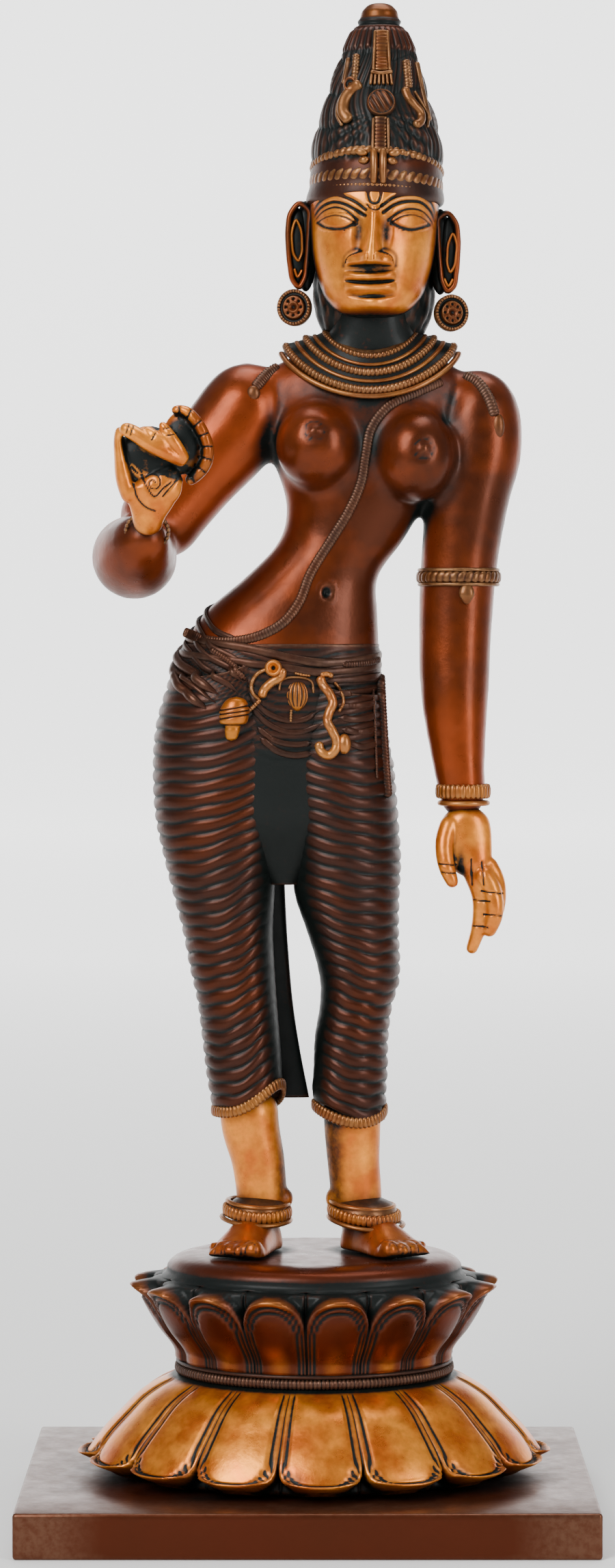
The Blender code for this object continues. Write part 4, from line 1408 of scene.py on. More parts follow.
def hem_path(table, base, inner, climb, power, drop, steps=60):
    path = []
    for i in range(steps):
        a = np.array([2 * math.pi * (i + 0.5) / steps + math.pi / 2])
        lower = drop * max(0.0, -math.sin(a[0])) ** 1.3
        x, y, z = leg_point(table, inner, climb, power, base - lower, a, 0.25)
        path.append((x[0], y[0], z[0], 2.0, 0.95))
    return path


def rear_panel(u, v):
    """The plain cloth that hangs behind the legs."""
    table = [
        (0, -12, 10.5, 12.6, 2.0, 50.6), (0.2, -13.4, 10.8, 11.0, 2.2, 66), (0.38, -15, 11, 10.4, 2.6, 80),
        (0.65, -16, 10.5, 9.4, 3, 102), (1, -17, 9, 9.0, 4, 130),
    ]
    edge = 0.02
    x, y, half_width, half_depth, z = along(table, np.clip((v - edge) / (1 - 2 * edge), 0, 1))
    a = 2 * np.pi * u + np.pi / 2
    tip = np.where((v < edge / 2) | (v > 1 - edge / 2), 0.0, 1.0)
    across = np.sign(np.cos(a)) * np.abs(np.cos(a)) ** 0.5
    deep = np.sign(np.sin(a)) * np.abs(np.sin(a)) ** 0.5
    folds = 0.3 * np.sin(across * 9)
    points = np.stack([x + tip * half_width * across, y + tip * (half_depth + folds * (deep > 0)) * deep, z], 1)
    # Dark all over: patina and painted shade behind the legs
    return points, np.zeros(len(u)), np.full(len(u), 0.8)


# Folds: path as in hugging, half width, depth
WAIST_FOLDS = [
    # Waist cloth, from the edge under the belly downwards
    (
        [
            (None, 207, 120), (-30, 205.2), (-18, 203.2), (-5, 200.2), (4, 198.8), (14, 199.2), (23, 200.6),
            (None, 203, -120),
        ],
        1.2, 1.2,
    ),
    (
        [
            (None, 203, 120), (-30, 200.2), (-18, 198.4), (-8, 197.2), (4, 195.6), (14, 196.2), (23.4, 197.6),
            (None, 199, -120),
        ],
        1.1, 1.0,
    ),
    ([(4.5, 192.6), (14, 193.0), (23.4, 194), (None, 195, -120)], 1.0, 0.8),
    ([(8.6, 188.6), (15, 188.8), (23.2, 189.8)], 0.9, 0.7),
    ([(9.4, 184.6), (15, 184.4), (23.2, 185.4)], 0.9, 0.7),
    ([(10, 180.6), (15, 180.0), (23.2, 181)], 0.9, 0.7),
    ([(11, 176.8), (16, 175.8), (23.4, 176.6)], 0.9, 0.7),
    ([(13, 172.6), (17, 171.0), (23.4, 171.6)], 0.9, 0.7),
    # Wraps over the right hip
    ([(None, 219, 110), (-38, 212.4), (-31, 209.6), (-22, 205.6)], 1.0, 0.8),
    ([(None, 216, 120), (-40.4, 208.6), (-33, 205.0), (-24.6, 200.0), (-19.4, 196.2)], 1.1, 0.9),
    ([(None, 213, 120), (-42, 205.2), (-34, 201.4), (-25.6, 195.6), (-20.6, 191.4)], 1.0, 0.9),
    ([(None, 210, 120), (-43.6, 201.8), (-35, 197.4), (-26.6, 191.6), (-22.2, 187.6)], 1.0, 0.9),
    # Hanging swags under the clasps
    ([(-20.8, 190.2), (-16.4, 184.6), (-9, 180.2), (0, 180.4), (5.0, 183.2)], 0.8, 0.7),
    ([(-19.6, 184.6), (-14.6, 179.6), (-8, 176.2), (0.6, 176.6), (5.6, 178.8)], 0.8, 0.7),
    ([(-17.6, 178.2), (-12, 173.6), (-5, 171.6), (2.8, 172.2)], 0.8, 0.8),
    ([(-16.4, 174.4), (-10.4, 169.6), (-4, 168.0), (2.8, 168.8)], 0.9, 0.8),
]


class STATUE_OT_sashes(PieceOperator):
    """Lay the waist folds, the sash rolls, the clasps and the tassel"""

    bl_idname = "statue.sashes"
    bl_label = "Sashes"

    def execute(self, context):
        look = self.finish_of(context)
        ground = Ground("bare_body", "cloth_at_hips", "right_leg", "left_leg")
        out = around(*HIP_AXIS)
        folds = []
        for path, width, depth in WAIST_FOLDS:
            folds.append(limb(hugging(ground, path, 1.3 * width, 0.75 * depth), 10, 90, patina_and_shade=0.3, outward=out))
        for path, width, rows in RIBBED_FOLDS:
            path = hugging(ground, path, width, 0.9, 0.4)
            folds.append(limb(path, 10, rows, patina_and_shade=0.1, outward=out, pitch=1.0, ribs=0.25))
        dress(carve("waist_folds", folds), look["cloth"])

        rolls = [
            limb(hugging(ground, path, width, depth, lift, 90), columns, 120, outward=out)
            for path, width, depth, lift, columns in SASH_ROLLS
        ]
        for path, width, depth, lift, columns, rows, options in HANGING_CORDS:
            path = ground.laid(path, width, depth, lift=lift, guess=-9)
            rolls.append(limb(path, columns, rows, **options))
        dress(carve("sash_rolls", rolls), look["cloth"])
        dress(carve("gold_clasps", clasp_sheets(ground)), look["jewel"])
        return {"FINISHED"}


# Folds with cut ribs: path, half width, rows
RIBBED_FOLDS = [
    ([(10.6, 198.2), (19, 198.6), (24.2, 200.0)], 1.2, 90),
    ([(-33, 203.8), (-25, 198.4), (-19.8, 192.6)], 1.3, 100),
]
# Rolls at the right hip: path, half width, depth, lift, columns
SASH_ROLLS = [
    ([(None, 214, 150), (None, 209, 118), (-43.4, 199.6), (-36.6, 194.6), (-28.4, 187.2)], 1.8, 1.7, 0.2, 14),
    ([(None, 209, 150), (None, 203, 118), (-44.8, 194.0), (-38.8, 187.4), (-31.6, 181.8)], 1.7, 1.7, 0.2, 14),
    ([(None, 211, 150), (None, 206, 118), (-44.4, 197.0), (-37.6, 191.2), (-29.8, 184.6)], 0.8, 1.3, 0.3, 10),
]
# Cords hanging on the left thigh: path, half width, depth, lift, columns, rows, options
HANGING_CORDS = [
    (
        [(24.3, 194.6), (25.0, 180), (25.8, 166), (26.8, 153.6)], 1.9, 1.2, 0.1, 14, 260,
        {"patina_and_shade": 0.15, "pitch": 1.2, "ribs": 0.16, "slant": 0.5},
    ),
    ([(22.0, 190), (22.6, 176), (23.2, 160)], 0.5, 0.8, 0.2, 8, 150, {"patina_and_shade": 0.1, "pitch": 0.9, "ribs": 0.2}),
]
# Strips of the clasps: (across, height) path, half width, depth, lift, points, columns, rows, options
CLASP_STRIPS = [
    (
        [(-8.2, 197.0), (-8.8, 194.2), (-12.0, 192.2), (-14.4, 189.8), (-15.4, 187.0)], 1.5, 1.5, 0.7, 40, 12,
        60, {"gold": 0.9},
    ),
    (
        [(-13.4, 196.8), (-16.8, 195.0), (-18.6, 191.8), (-18.2, 188.6), (-15.8, 186.4)], 0.7, 1.0, 0.4, 40,
        10, 60, {"gold": 0.35},
    ),
    (
        [(-15.6, 186.6), (-18.2, 184.0), (-20.4, 182.4)], 0.8, 1.0, 0.5, 40, 10, 40,
        {"gold": 0.3, "pitch": 1.0, "ribs": 0.3},
    ),
    (
        [(-4.4, 195.4), (-1.6, 194.8), (1.0, 194.4)], 0.5, 0.8, 0.4, 40, 8, 50,
        {"gold": 0.45, "pitch": 0.9, "ribs": 0.35},
    ),
    (
        [
            (4.0, 194.4), (5.0, 191.6), (7.4, 188.4), (8.4, 185.2), (7.2, 182.4), (6.6, 179.6), (8.2, 176.2),
            (9.6, 173.0), (9.2, 169.8), (7.0, 168.0), (4.6, 169.2), (3.6, 172.6),
        ],
        1.55, 1.4, 0.7, 60, 12, 130, {"gold": 0.95},
    ),
    ([(4.0, 194.6), (6.4, 195.0), (8.6, 194.2)], 1.0, 1.2, 0.6, 40, 10, 40, {"gold": 0.85}),
    ([(9.0, 192.4), (11.2, 189.2), (12.0, 185.6), (10.4, 182.4)], 0.55, 0.9, 0.4, 40, 8, 60, {"gold": 0.3}),
    (
        [(-9.4, 189.4), (-8.8, 192.6), (-3.6, 194.0), (1.4, 192.4), (2.0, 188.6)], 0.45, 0.7, 0.3, 40, 8, 60,
        {"gold": 0.1},
    ),
    ([(-5.4, 183.4), (-5.6, 179.0)], 0.5, 0.7, 0.4, 10, 8, 30, {"gold": 0.2, "pitch": 0.9, "ribs": 0.3}),
]


def clasp_sheets(ground):
    """Gold curl, bud, winding band and bell tassel at the waist."""
    sheets = on_strips(ground, CLASP_STRIPS)
    hole_y, _ = ground.front(-11.3, 197.0, -20)
    sheets.append(medallion(-11.3, hole_y - 0.6, 197.0, 2.9, 1.2, (-0.1, -1, 0.05), curl_ring, 36, 16, 0.9))
    bulb_y, _ = ground.front(12.3, 171.6, -20)
    sheets.append(egg(12.2, bulb_y - 0.2, 171.8, 2.3, 2.2, 3.4, 24, 18, 0.7))
    bud_y, _ = ground.front(-3.4, 188, -20)

    def bud(u, v):
        turn, tilt = 2 * np.pi * u, np.pi * v
        ribs = 1 - 0.2 * (1 - np.abs(np.sin(turn * 6)) ** 0.7) * (v > 0.25)
        points = np.stack([
            -3.4 + 3.7 * ribs * np.sin(tilt) ** 0.8 * np.cos(turn) * (0.55 + 0.45 * smoothstep(0, 0.5, v)),
            bud_y + 2.2 * ribs * np.sin(tilt) * np.sin(turn),
            187.6 - 5.0 * np.cos(tilt),
        ], 1)
        return points, np.full(len(u), 0.35), 0.8 * (1 - ribs) / 0.2

    sheets.append((72, 40, bud))
    bell_y, _ = ground.front(-24.6, 180.4, -22)

    def bell_tassel(u, v):
        """A bell with three slanting cuts that ends in a tuft."""
        turn = 2 * np.pi * u
        radius, height = along(
            [
                (0, 0.01, 6.6), (0.08, 2.4, 6.0), (0.25, 4.6, 3.2), (0.5, 4.9, -0.4), (0.62, 4.2, -2.4),
                (0.68, 2.9, -3.0), (0.8, 2.5, -5.0), (0.93, 1.5, -7.6), (1, 0.01, -8.2),
            ],
            v,
        )
        cuts = sum(bell(v - 0.18 - 0.10 * i + 0.05 * np.cos(turn), 0.028) for i in range(1, 4))
        radius = radius - 0.7 * cuts
        x = -24.4 + radius * np.cos(turn) + 0.12 * height
        points = np.stack([x, bell_y - 0.6 + 0.8 * radius * np.sin(turn), 181.0 + height], 1)
        return points, np.where(v > 0.64, 0.5, 0.7), 0.9 * np.clip(cuts, 0, 1) + 0.8 * bell(v - 0.66, 0.05)

    sheets.append((64, 90, bell_tassel))
    return sheets


def curl_ring(turn, share):
    height = 0.9 * bell(share - 0.72, 0.36) - 1.0 * bell(share, 0.4)
    return height, 1.0 * bell(share, 0.42)


# Limbs of the raised hand: (across, front to back, height, half width, half depth) path, columns, rows, bluntness
RAISED_HAND = [
    (
        [
            (-52.2, -44, 242.4, 4.8, 4.8), (-51.8, -48.5, 246.6, 5.4, 4.8), (-51.0, -51, 252.4, 8.2, 4.8),
            (-50.6, -52, 257.4, 10.0, 4.4), (-52, -52, 260.4, 8.8, 3.4),
        ],
        40, 90, 0.8,
    ),
    (
        [
            (-57.2, -51, 251, 2.6, 4.2), (-59.4, -52, 258.6, 2.9, 4.0), (-60.7, -53, 266, 2.1, 3.6),
            (-61.2, -54, 272, 1.6, 3.0), (-60.6, -55.5, 275.2, 1.5, 2.6),
        ],
        24, 70, 1.0,
    ),
    (
        [
            (-60.4, -56.5, 275.4, 2.1, 2.6), (-56.6, -58, 273.6, 2.5, 2.8), (-50.4, -58.5, 269.4, 2.5, 2.8),
            (-44.6, -57.5, 266.4, 2.3, 2.8), (-39.6, -54.5, 263.8, 2.0, 2.6),
        ],
        24, 90, 1.0,
    ),
    (
        [
            (-52.6, -56, 275.0, 1.3, 1.8), (-50.0, -58, 273.0, 1.7, 2.2), (-47.4, -58.5, 270.6, 1.9, 2.2),
            (-44.6, -57.5, 268.2, 1.6, 2.0),
        ],
        20, 40, 1.0,
    ),
    (
        [
            (-47.6, -57, 276.8, 1.3, 1.8), (-44.8, -58, 273.0, 1.8, 2.2), (-41.8, -57.5, 268.6, 1.9, 2.2),
            (-39.2, -55, 264.4, 1.7, 2.2),
        ],
        20, 60, 1.0,
    ),
    (
        [
            (-44.0, -52, 281.0, 1.5, 2.4), (-39.6, -53.5, 280.6, 1.8, 2.7), (-36.2, -54.2, 277.4, 2.0, 2.9),
            (-33.6, -54.4, 273.0, 2.0, 2.9), (-32.2, -54, 268.4, 2.0, 2.9), (-33.2, -53, 263.2, 2.0, 2.9),
            (-36, -52, 259.8, 1.9, 2.8), (-39.4, -51, 257.6, 1.8, 2.6),
        ],
        24, 110, 1.0,
    ),
]
# Cuts of the raised hand: line, width, depth, patina
RAISED_HAND_CUTS = [
    ([(-56.4, 257.0), (-55.0, 252.2), (-52.0, 249.2), (-49.4, 248.2)], 0.5, 0.4, 1),
    ([(-53.9, 260.0), (-51.6, 255.4), (-49.6, 252.8), (-46.6, 255.6), (-44.2, 257.4)], 0.5, 0.4, 1),
    ([(-46.8, 253.0), (-44.4, 255.8), (-42.2, 258.4)], 0.45, 0.4, 1),
    (
        [
            (-52.4, 259.4), (-50.6, 260.6), (-48.4, 259.6), (-47.6, 257.2), (-48.8, 255.4), (-50.6, 255.6),
            (-51.2, 257.2), (-50.2, 258.4), (-49.2, 257.6),
        ],
        0.4, 0.35, 1,
    ),
    ([(-57.0, 262.6), (-55.2, 260.6)], 0.4, 0.3, 1),
    ([(-55.6, 263.4), (-53.8, 260.8)], 0.4, 0.3, 1),
    ([(-58.6, 273.2), (-57.2, 277.2)], 0.4, 0.35, 1),
    ([(-57.2, 272.6), (-55.8, 276.4)], 0.4, 0.35, 1),
    ([(-50.2, 271.0), (-49.0, 273.4)], 0.4, 0.35, 1),
    ([(-46.6, 274.6), (-44.2, 275.2)], 0.4, 0.35, 1),
    ([(-45.2, 272.4), (-42.8, 273.0)], 0.4, 0.35, 1),
]
# Limbs of the hanging hand: path, columns, rows
HANGING_HAND = [
    (
        [
            (52.5, -5.8, 151, 6.6, 6.2), (53.0, -7, 144, 8.4, 6.0), (54.5, -8.5, 135, 7.6, 5.0),
            (56.0, -9.4, 127, 5.8, 4.4),
        ],
        36, 70,
    ),
    (
        [
            (57.4, -10.5, 130, 3.6, 3.8), (61.8, -12.5, 122.3, 3.2, 3.4), (62.6, -13, 114.5, 2.9, 3.0),
            (60.0, -11.5, 107.0, 2.3, 2.4),
        ],
        24, 70,
    ),
    (
        [
            (54.6, -8.5, 130, 3.2, 3.6), (58.0, -10.5, 120, 2.9, 3.2), (57.6, -10.5, 111, 2.6, 2.8),
            (54.6, -9, 101.0, 1.9, 2.2),
        ],
        24, 80,
    ),
    (
        [
            (59.8, -8, 133, 3.0, 3.2), (63.8, -9.5, 125, 2.6, 2.8), (64.2, -9, 117, 2.2, 2.5),
            (62.6, -7.5, 111, 1.8, 2.0),
        ],
        20, 60,
    ),
    (
        [
            (48.6, -8.5, 147, 3.4, 3.6), (45.8, -12, 138.3, 3.1, 3.4), (46.6, -14, 130.4, 2.8, 3.0),
            (49.2, -15, 123.6, 1.9, 2.2),
        ],
        24, 70,
    ),
]
# Finger lines of the hanging hand
HANGING_HAND_LINES = [
    [(43.4, 131.6), (49.6, 131.2)],
    [(44.0, 128.8), (50.0, 128.6)],
    [(58.2, 122.4), (65.4, 121.6)],
    [(59.0, 114.6), (65.4, 114.2)],
    [(55.0, 119.4), (60.8, 119.0)],
    [(54.6, 110.8), (60.4, 110.2)],
    [(58.4, 132), (58.8, 124.4)],
    [(54.8, 133), (55.0, 124.4)],
]


class STATUE_OT_hands(PieceOperator):
    """Carve the closed right hand and the hanging left hand"""

    bl_idname = "statue.hands"
    bl_label = "Hands"

    def execute(self, context):
        look = self.finish_of(context)
        grain = self.sizes(context).hand_grain / UNIT
        sheets = [
            *(limb(path, columns, rows, blunt=blunt) for path, columns, rows, blunt in RAISED_HAND),
            egg(-40.6, -50, 270.6, 7.0, 4.2, 10.4, 32, 24),
            egg(-51.6, -50.8, 266.6, 10.2, 3.6, 9.4, 32, 24),
        ]

        arch_joints = []
        for x, z, turn in (
            (-41.6, 281, 92), (-38.2, 279.8, 62), (-35.6, 276.4, 40), (-33.8, 272.8, 22), (-32.6, 269, 5),
            (-32.8, 265.2, -15), (-34.4, 261.6, -38), (-37.4, 258.8, -60),
        ):
            dx, dz = 2.6 * math.cos(math.radians(turn)), 2.6 * math.sin(math.radians(turn))
            arch_joints.append(([(x - dx, z - dz), (x + dx, z + dz)], 0.55, 0.45, 1))

        def finish(points, normals):
            x, y, z = points.T
            front = smoothstep(0.1, 0.5, -normals[:, 1])
            inward, patina_and_shade = (part * front for part in scored(x, z, RAISED_HAND_CUTS + arch_joints))
            # Painted shade and patina: curled palm, behind the finger block, finger gap and back of the hand
            hollow = from_line(x, z, [(-60.2, 270.6), (-55.6, 265.6), (-49, 262.2), (-41.8, 260.4), (-38.6, 260.2)])
            patina_and_shade += 1.6 * bell(hollow, 3.6) * (y > -55.6)
            block = bell(np.hypot((x + 40.2) / 5.6, (z - 271.6) / 8.6), 1.3) * (y > -55.4)
            gap = bell(from_line(x, z, [(-52.6, 277), (-49.0, 275.4), (-43.4, 269.4)]), 1.1) * (y > -57.6)
            patina_and_shade += 1.6 * block + 1.4 * gap + 1.0 * (y > -47.5)
            gold = smoothstep(-47.5, -51, y) * (0.2 + 0.8 * smoothstep(-36.5, -39.5, x))
            return points - normals * inward[:, None], np.clip(gold, 0, 1), patina_and_shade

        dress(fused("right_hand", sheets, grain, 5, finish), look["skin"])

        sheets = [limb(path, columns, rows) for path, columns, rows in HANGING_HAND]

        def finish_left(points, normals):
            x, y, z = points.T
            front = smoothstep(0.1, 0.5, -normals[:, 1])
            marks = [(line, 0.5, 0.35, 1) for line in HANGING_HAND_LINES]
            inward, patina_and_shade = (part * front for part in scored(x, z, marks))
            # Painted shade and patina between the fingers and on the back of the hand
            patina_and_shade += 0.8 * bell(np.hypot((x - 51.6) / 2.0, (z - 130) / 8.0), 1.2) * front
            patina_and_shade += 0.6 * smoothstep(-5.5, -3.5, y)
            return points - normals * inward[:, None], smoothstep(-5.5, -8, y), patina_and_shade

        dress(fused("left_hand", sheets, grain, 5, finish_left), look["skin"])
        return {"FINISHED"}


# Shin, heel, where the toes begin, which side is inward, and the ankle bone
FEET = {
    "right_foot": (
        [
            (-20.0, 3, 56, 10.0, 10.0), (-19.4, 3, 42, 9.8, 9.6), (-16.8, 3.5, 30, 9.0, 9.0),
            (-15.7, 4, 20, 8.6, 8.6), (-15.6, 4, 6, 8.4, 9.0),
        ],
        (-15.5, 5), (-25, -23), 1, (-7.4, 3, 17),
    ),
    "left_foot": (
        [
            (15.0, 3, 56, 10.0, 10.0), (15.3, 3, 38, 9.4, 9.4), (15.6, 3.5, 30, 8.9, 8.9),
            (16.4, 4, 20, 8.7, 8.6), (16.8, 4, 6, 8.6, 9.0),
        ],
        (17, 5), (34, -21), -1, (8.6, 3, 17),
    ),
}


class STATUE_OT_feet(PieceOperator):
    """Carve the shins and feet with their toes, and the anklets"""

    bl_idname = "statue.feet"
    bl_label = "Feet"

    def execute(self, context):
        look = self.finish_of(context)
        grain = 1.5 * self.sizes(context).hand_grain / UNIT
        for name, (shin, heel, toes, inner, knob) in FEET.items():
            obj = fused(
                name,
                [
                    limb(shin, 40, 90, outward=(0, -1, 0)), foot_sheet(heel, toes),
                    *toe_sheets(heel, toes, inner), egg(*knob, 2.6, 3.4, 3.4),
                ],
                grain, 4, foot_finish(heel, toes, inner),
            )
            dress(obj, look["skin"])
        sheets = [
            *rings(ANKLET_RINGS),
            # Metal left between the rings and the legs, dark with patina and painted shade
            egg(-16.9, 1.5, 13.2, 10.6, 11.2, 5.6, 40, 24, 0.1, 1.0),
            egg(19.0, 1.1, 12.6, 11.4, 12.0, 5.6, 40, 24, 0.1, 1.0),
        ]
        dress(carve("anklets", sheets), look["jewel"])
        return {"FINISHED"}


def foot_sheet(heel, toes):
    """A foot with a flat sole, from its heel to the roots of its toes."""
    ahead = np.array([toes[0] - heel[0], toes[1] - heel[1], 0.0])
    across = np.array([-ahead[1], ahead[0], 0.0]) / np.hypot(*ahead[:2])
    table = [
        (0, -0.14, 0.01, 0.01), (0.03, -0.12, 3.0, 5), (0.14, 0.02, 7.6, 13), (0.35, 0.3, 8.4, 13.6),
        (0.55, 0.55, 9.2, 10.6), (0.75, 0.76, 10.0, 7.2), (0.9, 0.92, 9.2, 4.6), (0.98, 0.98, 6, 3),
        (1, 0.99, 0.01, 0.01),
    ]

    def shape(u, v):
        share, half_width, height = along(table, v)
        turn = 2 * np.pi * u - np.pi / 2
        points = (
            np.array([heel[0], heel[1], 0.2])
            + share[:, None] * ahead
            + (half_width * np.cos(turn))[:, None] * across
            + np.stack([0 * u, 0 * u, np.maximum(0, height * np.sin(turn))], 1)
        )
        return points, np.ones(len(u)), np.zeros(len(u))

    return 48, 60, shape


def toe_places(heel, toes, inner):
    """Root, tip and thickness of each toe, from the big toe outwards."""
    ahead = Vector((toes[0] - heel[0], toes[1] - heel[1], 0))
    forward = ahead.normalized()
    across = Vector((-forward.y, forward.x, 0)) * -inner
    places = []
    for aside, reach, thick in (
        (-7.0, 7.6, 3.4), (-2.4, 8.0, 2.4), (1.8, 6.6, 2.2), (5.4, 4.8, 2.1), (8.6, 2.4, 2.0),
    ):
        root = Vector((*heel, 0)) + ahead * 0.8 + across * aside * 0.92
        tip = root + forward * reach + across * aside * 0.06
        places.append((root, tip, thick, forward, across))
    return places


def toe_sheets(heel, toes, inner):
    sheets = []
    for root, tip, thick, _, _ in toe_places(heel, toes, inner):
        path = [
            (root.x, root.y, 3.6, thick, thick * 1.1),
            (*((root + tip) / 2)[:2], 3.2, thick * 0.92, thick),
            (tip.x, tip.y, thick * 0.95, thick, thick * 0.9),
        ]
        sheets.append(limb(path, 20, 40, outward=(0, 0, 1)))
    return sheets


def foot_finish(heel, toes, inner):
    def finish(points, normals):
        x, y, z = points.T
        up = smoothstep(0.1, 0.6, normals[:, 2])
        inward, patina_and_shade = np.zeros(len(x)), np.zeros(len(x))
        for _, tip, thick, forward, across in toe_places(heel, toes, inner):
            away = np.stack([x - tip.x, y - tip.y], 1)
            ahead = away @ np.array(forward[:2])
            aside = away @ np.array(across[:2])
            nail = np.hypot((ahead - thick * 0.1) / (thick * 0.62), aside / (thick * 0.62))
            edge = bell(nail - 1.0, 0.22) * (z > thick * 0.7)
            inward += 0.22 * edge
            patina_and_shade += 0.8 * edge
            ring = bell(ahead + thick * 1.9, 0.45) * (np.abs(aside) < thick) * up
            inward += 0.15 * ring
            patina_and_shade += 0.5 * ring
        moved = points - normals * inward[:, None]
        moved[:, 2] = np.maximum(moved[:, 2], 0.05)
        # Painted shade low where the foot meets the lotus, and with patina on the shin's inner side and back
        patina_and_shade += 0.9 * smoothstep(1.6, 0.4, z)
        shin_side = (x - heel[0]) * inner
        patina_and_shade += 0.75 * smoothstep(2.5, 7.5, shin_side) * smoothstep(12, 20, z)
        patina_and_shade += 0.7 * smoothstep(2.0, 8.0, y) * smoothstep(14, 22, z)
        gold = smoothstep(9.0, 3.0, y) * (0.22 + 0.78 * smoothstep(10.0, 17.0, z))
        return moved, gold, patina_and_shade

    return finish


class STATUE_OT_lotus(PieceOperator):
    """Carve the double lotus with its bead band and its disc"""

    bl_idname = "statue.lotus"
    bl_label = "Lotus Pedestal"

    def execute(self, context):
        look = self.finish_of(context)
        petals = self.sizes(context).petals
        columns = petals * 24
        for name, shape, rows in (("rising_petals", rising_petals, 90), ("hanging_petals", hanging_petals, 78)):
            obj = carve(name, [(columns, rows, shape(petals))], lambda points: points)
            dress(obj, look["lotus"], "lotus_pedestal")
        middle_x = (LOTUS_LOW[0] + LOTUS_HIGH[0]) / 2
        half_width, half_depth, height = lotus_sizes()
        band = []
        steps = 64
        for i in range(steps):
            a = 2 * math.pi * (i + 0.5) / steps + math.pi / 2
            band.append(
                (
                    middle_x + half_width * 0.588 * math.cos(a), half_depth * 0.588 * math.sin(a),
                    LOTUS_LOW[2] + height * 0.472, 0.0017, 0.0015,
                )
            )
        ring = [(x, y, z + 0.0024, 0.0008, 0.0010) for x, y, z, _, _ in band]
        out = around(middle_x, 0)
        sheets = [
            limb(band, 9, 880, patina_and_shade=0.3, outward=out, pitch=0.00135, ribs=0.3, closed=True, square=0.8),
            limb(ring, 10, 300, patina_and_shade=0.5, outward=out, closed=True),
        ]
        obj = carve("bead_band", sheets, lambda points: points)
        dress(obj, look["crown"], "lotus_pedestal")
        return {"FINISHED"}


def lotus_sizes():
    return (LOTUS_HIGH[0] - LOTUS_LOW[0]) / 2, (LOTUS_HIGH[1] - LOTUS_LOW[1]) / 2, LOTUS_HIGH[2] - LOTUS_LOW[2]


def across_petals(u, petals, shift):
    """Place across each petal, from -1 to 1, and round the lotus, with columns gathered at the edges."""
    place = u * petals
    petal = np.floor(place + 1e-5)
    even = 2 * (place - petal) - 1
    t = np.sign(even) * (1 - np.clip(1 - np.abs(even), 0, 1) ** 1.5)
    return t, (petal + (t + 1) / 2 + shift - 0.5) / petals


def on_lotus(u, radius, height):
    half_width, half_depth, _ = lotus_sizes()
    middle_x = (LOTUS_LOW[0] + LOTUS_HIGH[0]) / 2
    a = 2 * np.pi * u + np.pi / 2
    return np.stack([middle_x + half_width * radius * np.cos(a), half_depth * radius * np.sin(a), height], 1)


def hanging_petals(petals):
    """Broad petals that spread over the plinth, each with a double cut edge and a curled lip."""
    profile = [
        (0, 0.575, 0.455), (0.10, 0.625, 0.43), (0.28, 0.735, 0.36), (0.46, 0.825, 0.268),
        (0.63, 0.903, 0.18), (0.78, 0.955, 0.105), (0.88, 0.978, 0.060), (0.94, 0.975, 0.022), (1, 0.90, 0.0),
    ]

    def shape(u, v):
        low, height = LOTUS_LOW[2], lotus_sizes()[2]
        t, u = across_petals(u, petals, 0.07)
        s = np.clip((v - 0.05) / 0.85, 0, 1)
        radius, level = along(profile, np.clip(v / 0.97, 0, 1))
        starts = smoothstep(0.02, 0.1, s)
        end = np.clip((s - 0.58) / 0.40, 0, 1.2)
        q = (np.abs(t) ** 3 + end**3) ** (1 / 3)
        radius = radius + 0.016 * (1 - np.abs(t) ** 2.2) * smoothstep(0, 0.15, s)
        # Between the tips the metal falls back to the ground; each tip ends in a thick curled lip
        gap = smoothstep(0.97, 1.12, q) * smoothstep(0.50, 0.66, s)
        lip = bell(q - 0.97, 0.12) * smoothstep(0.72, 0.92, s) * np.clip(1 - (np.abs(t) / 0.85) ** 4, 0, 1)
        radius = radius * (1 - 0.13 * gap) + 0.030 * lip
        level = level + 0.035 * lip
        cuts = bell(q - 0.80, 0.05) + bell(q - 0.90, 0.045) + 1.1 * bell(np.abs(t) - 1, 0.04)
        radius = radius - 0.011 * cuts * starts
        # Patina in the cuts; painted shade and patina between the tips, under the bead band and at the plinth
        patina_and_shade = 1.2 * cuts * starts + 1.3 * gap + 1.2 * smoothstep(0.93, 0.99, v) + 1.1 * smoothstep(0.12, 0.03, v)
        corner = bell(np.hypot((np.abs(t - 0.1) - 0.62) / 0.26, (s - 0.84) / 0.12), 1.1)
        patina_and_shade += 0.55 * corner * (np.sin(9 * u * petals) > -0.3)
        gold = smoothstep(0.03, 0.14, v) * (1 - 0.9 * gap)
        points = on_lotus(u, radius, low + height * level)
        # The underside closes to a point inside the pedestal
        points[v > 0.985] = on_lotus(u, 0.55 * np.ones(len(u)), np.full(len(u), low + 0.0003))[v > 0.985]
        return points, gold, patina_and_shade

    return shape


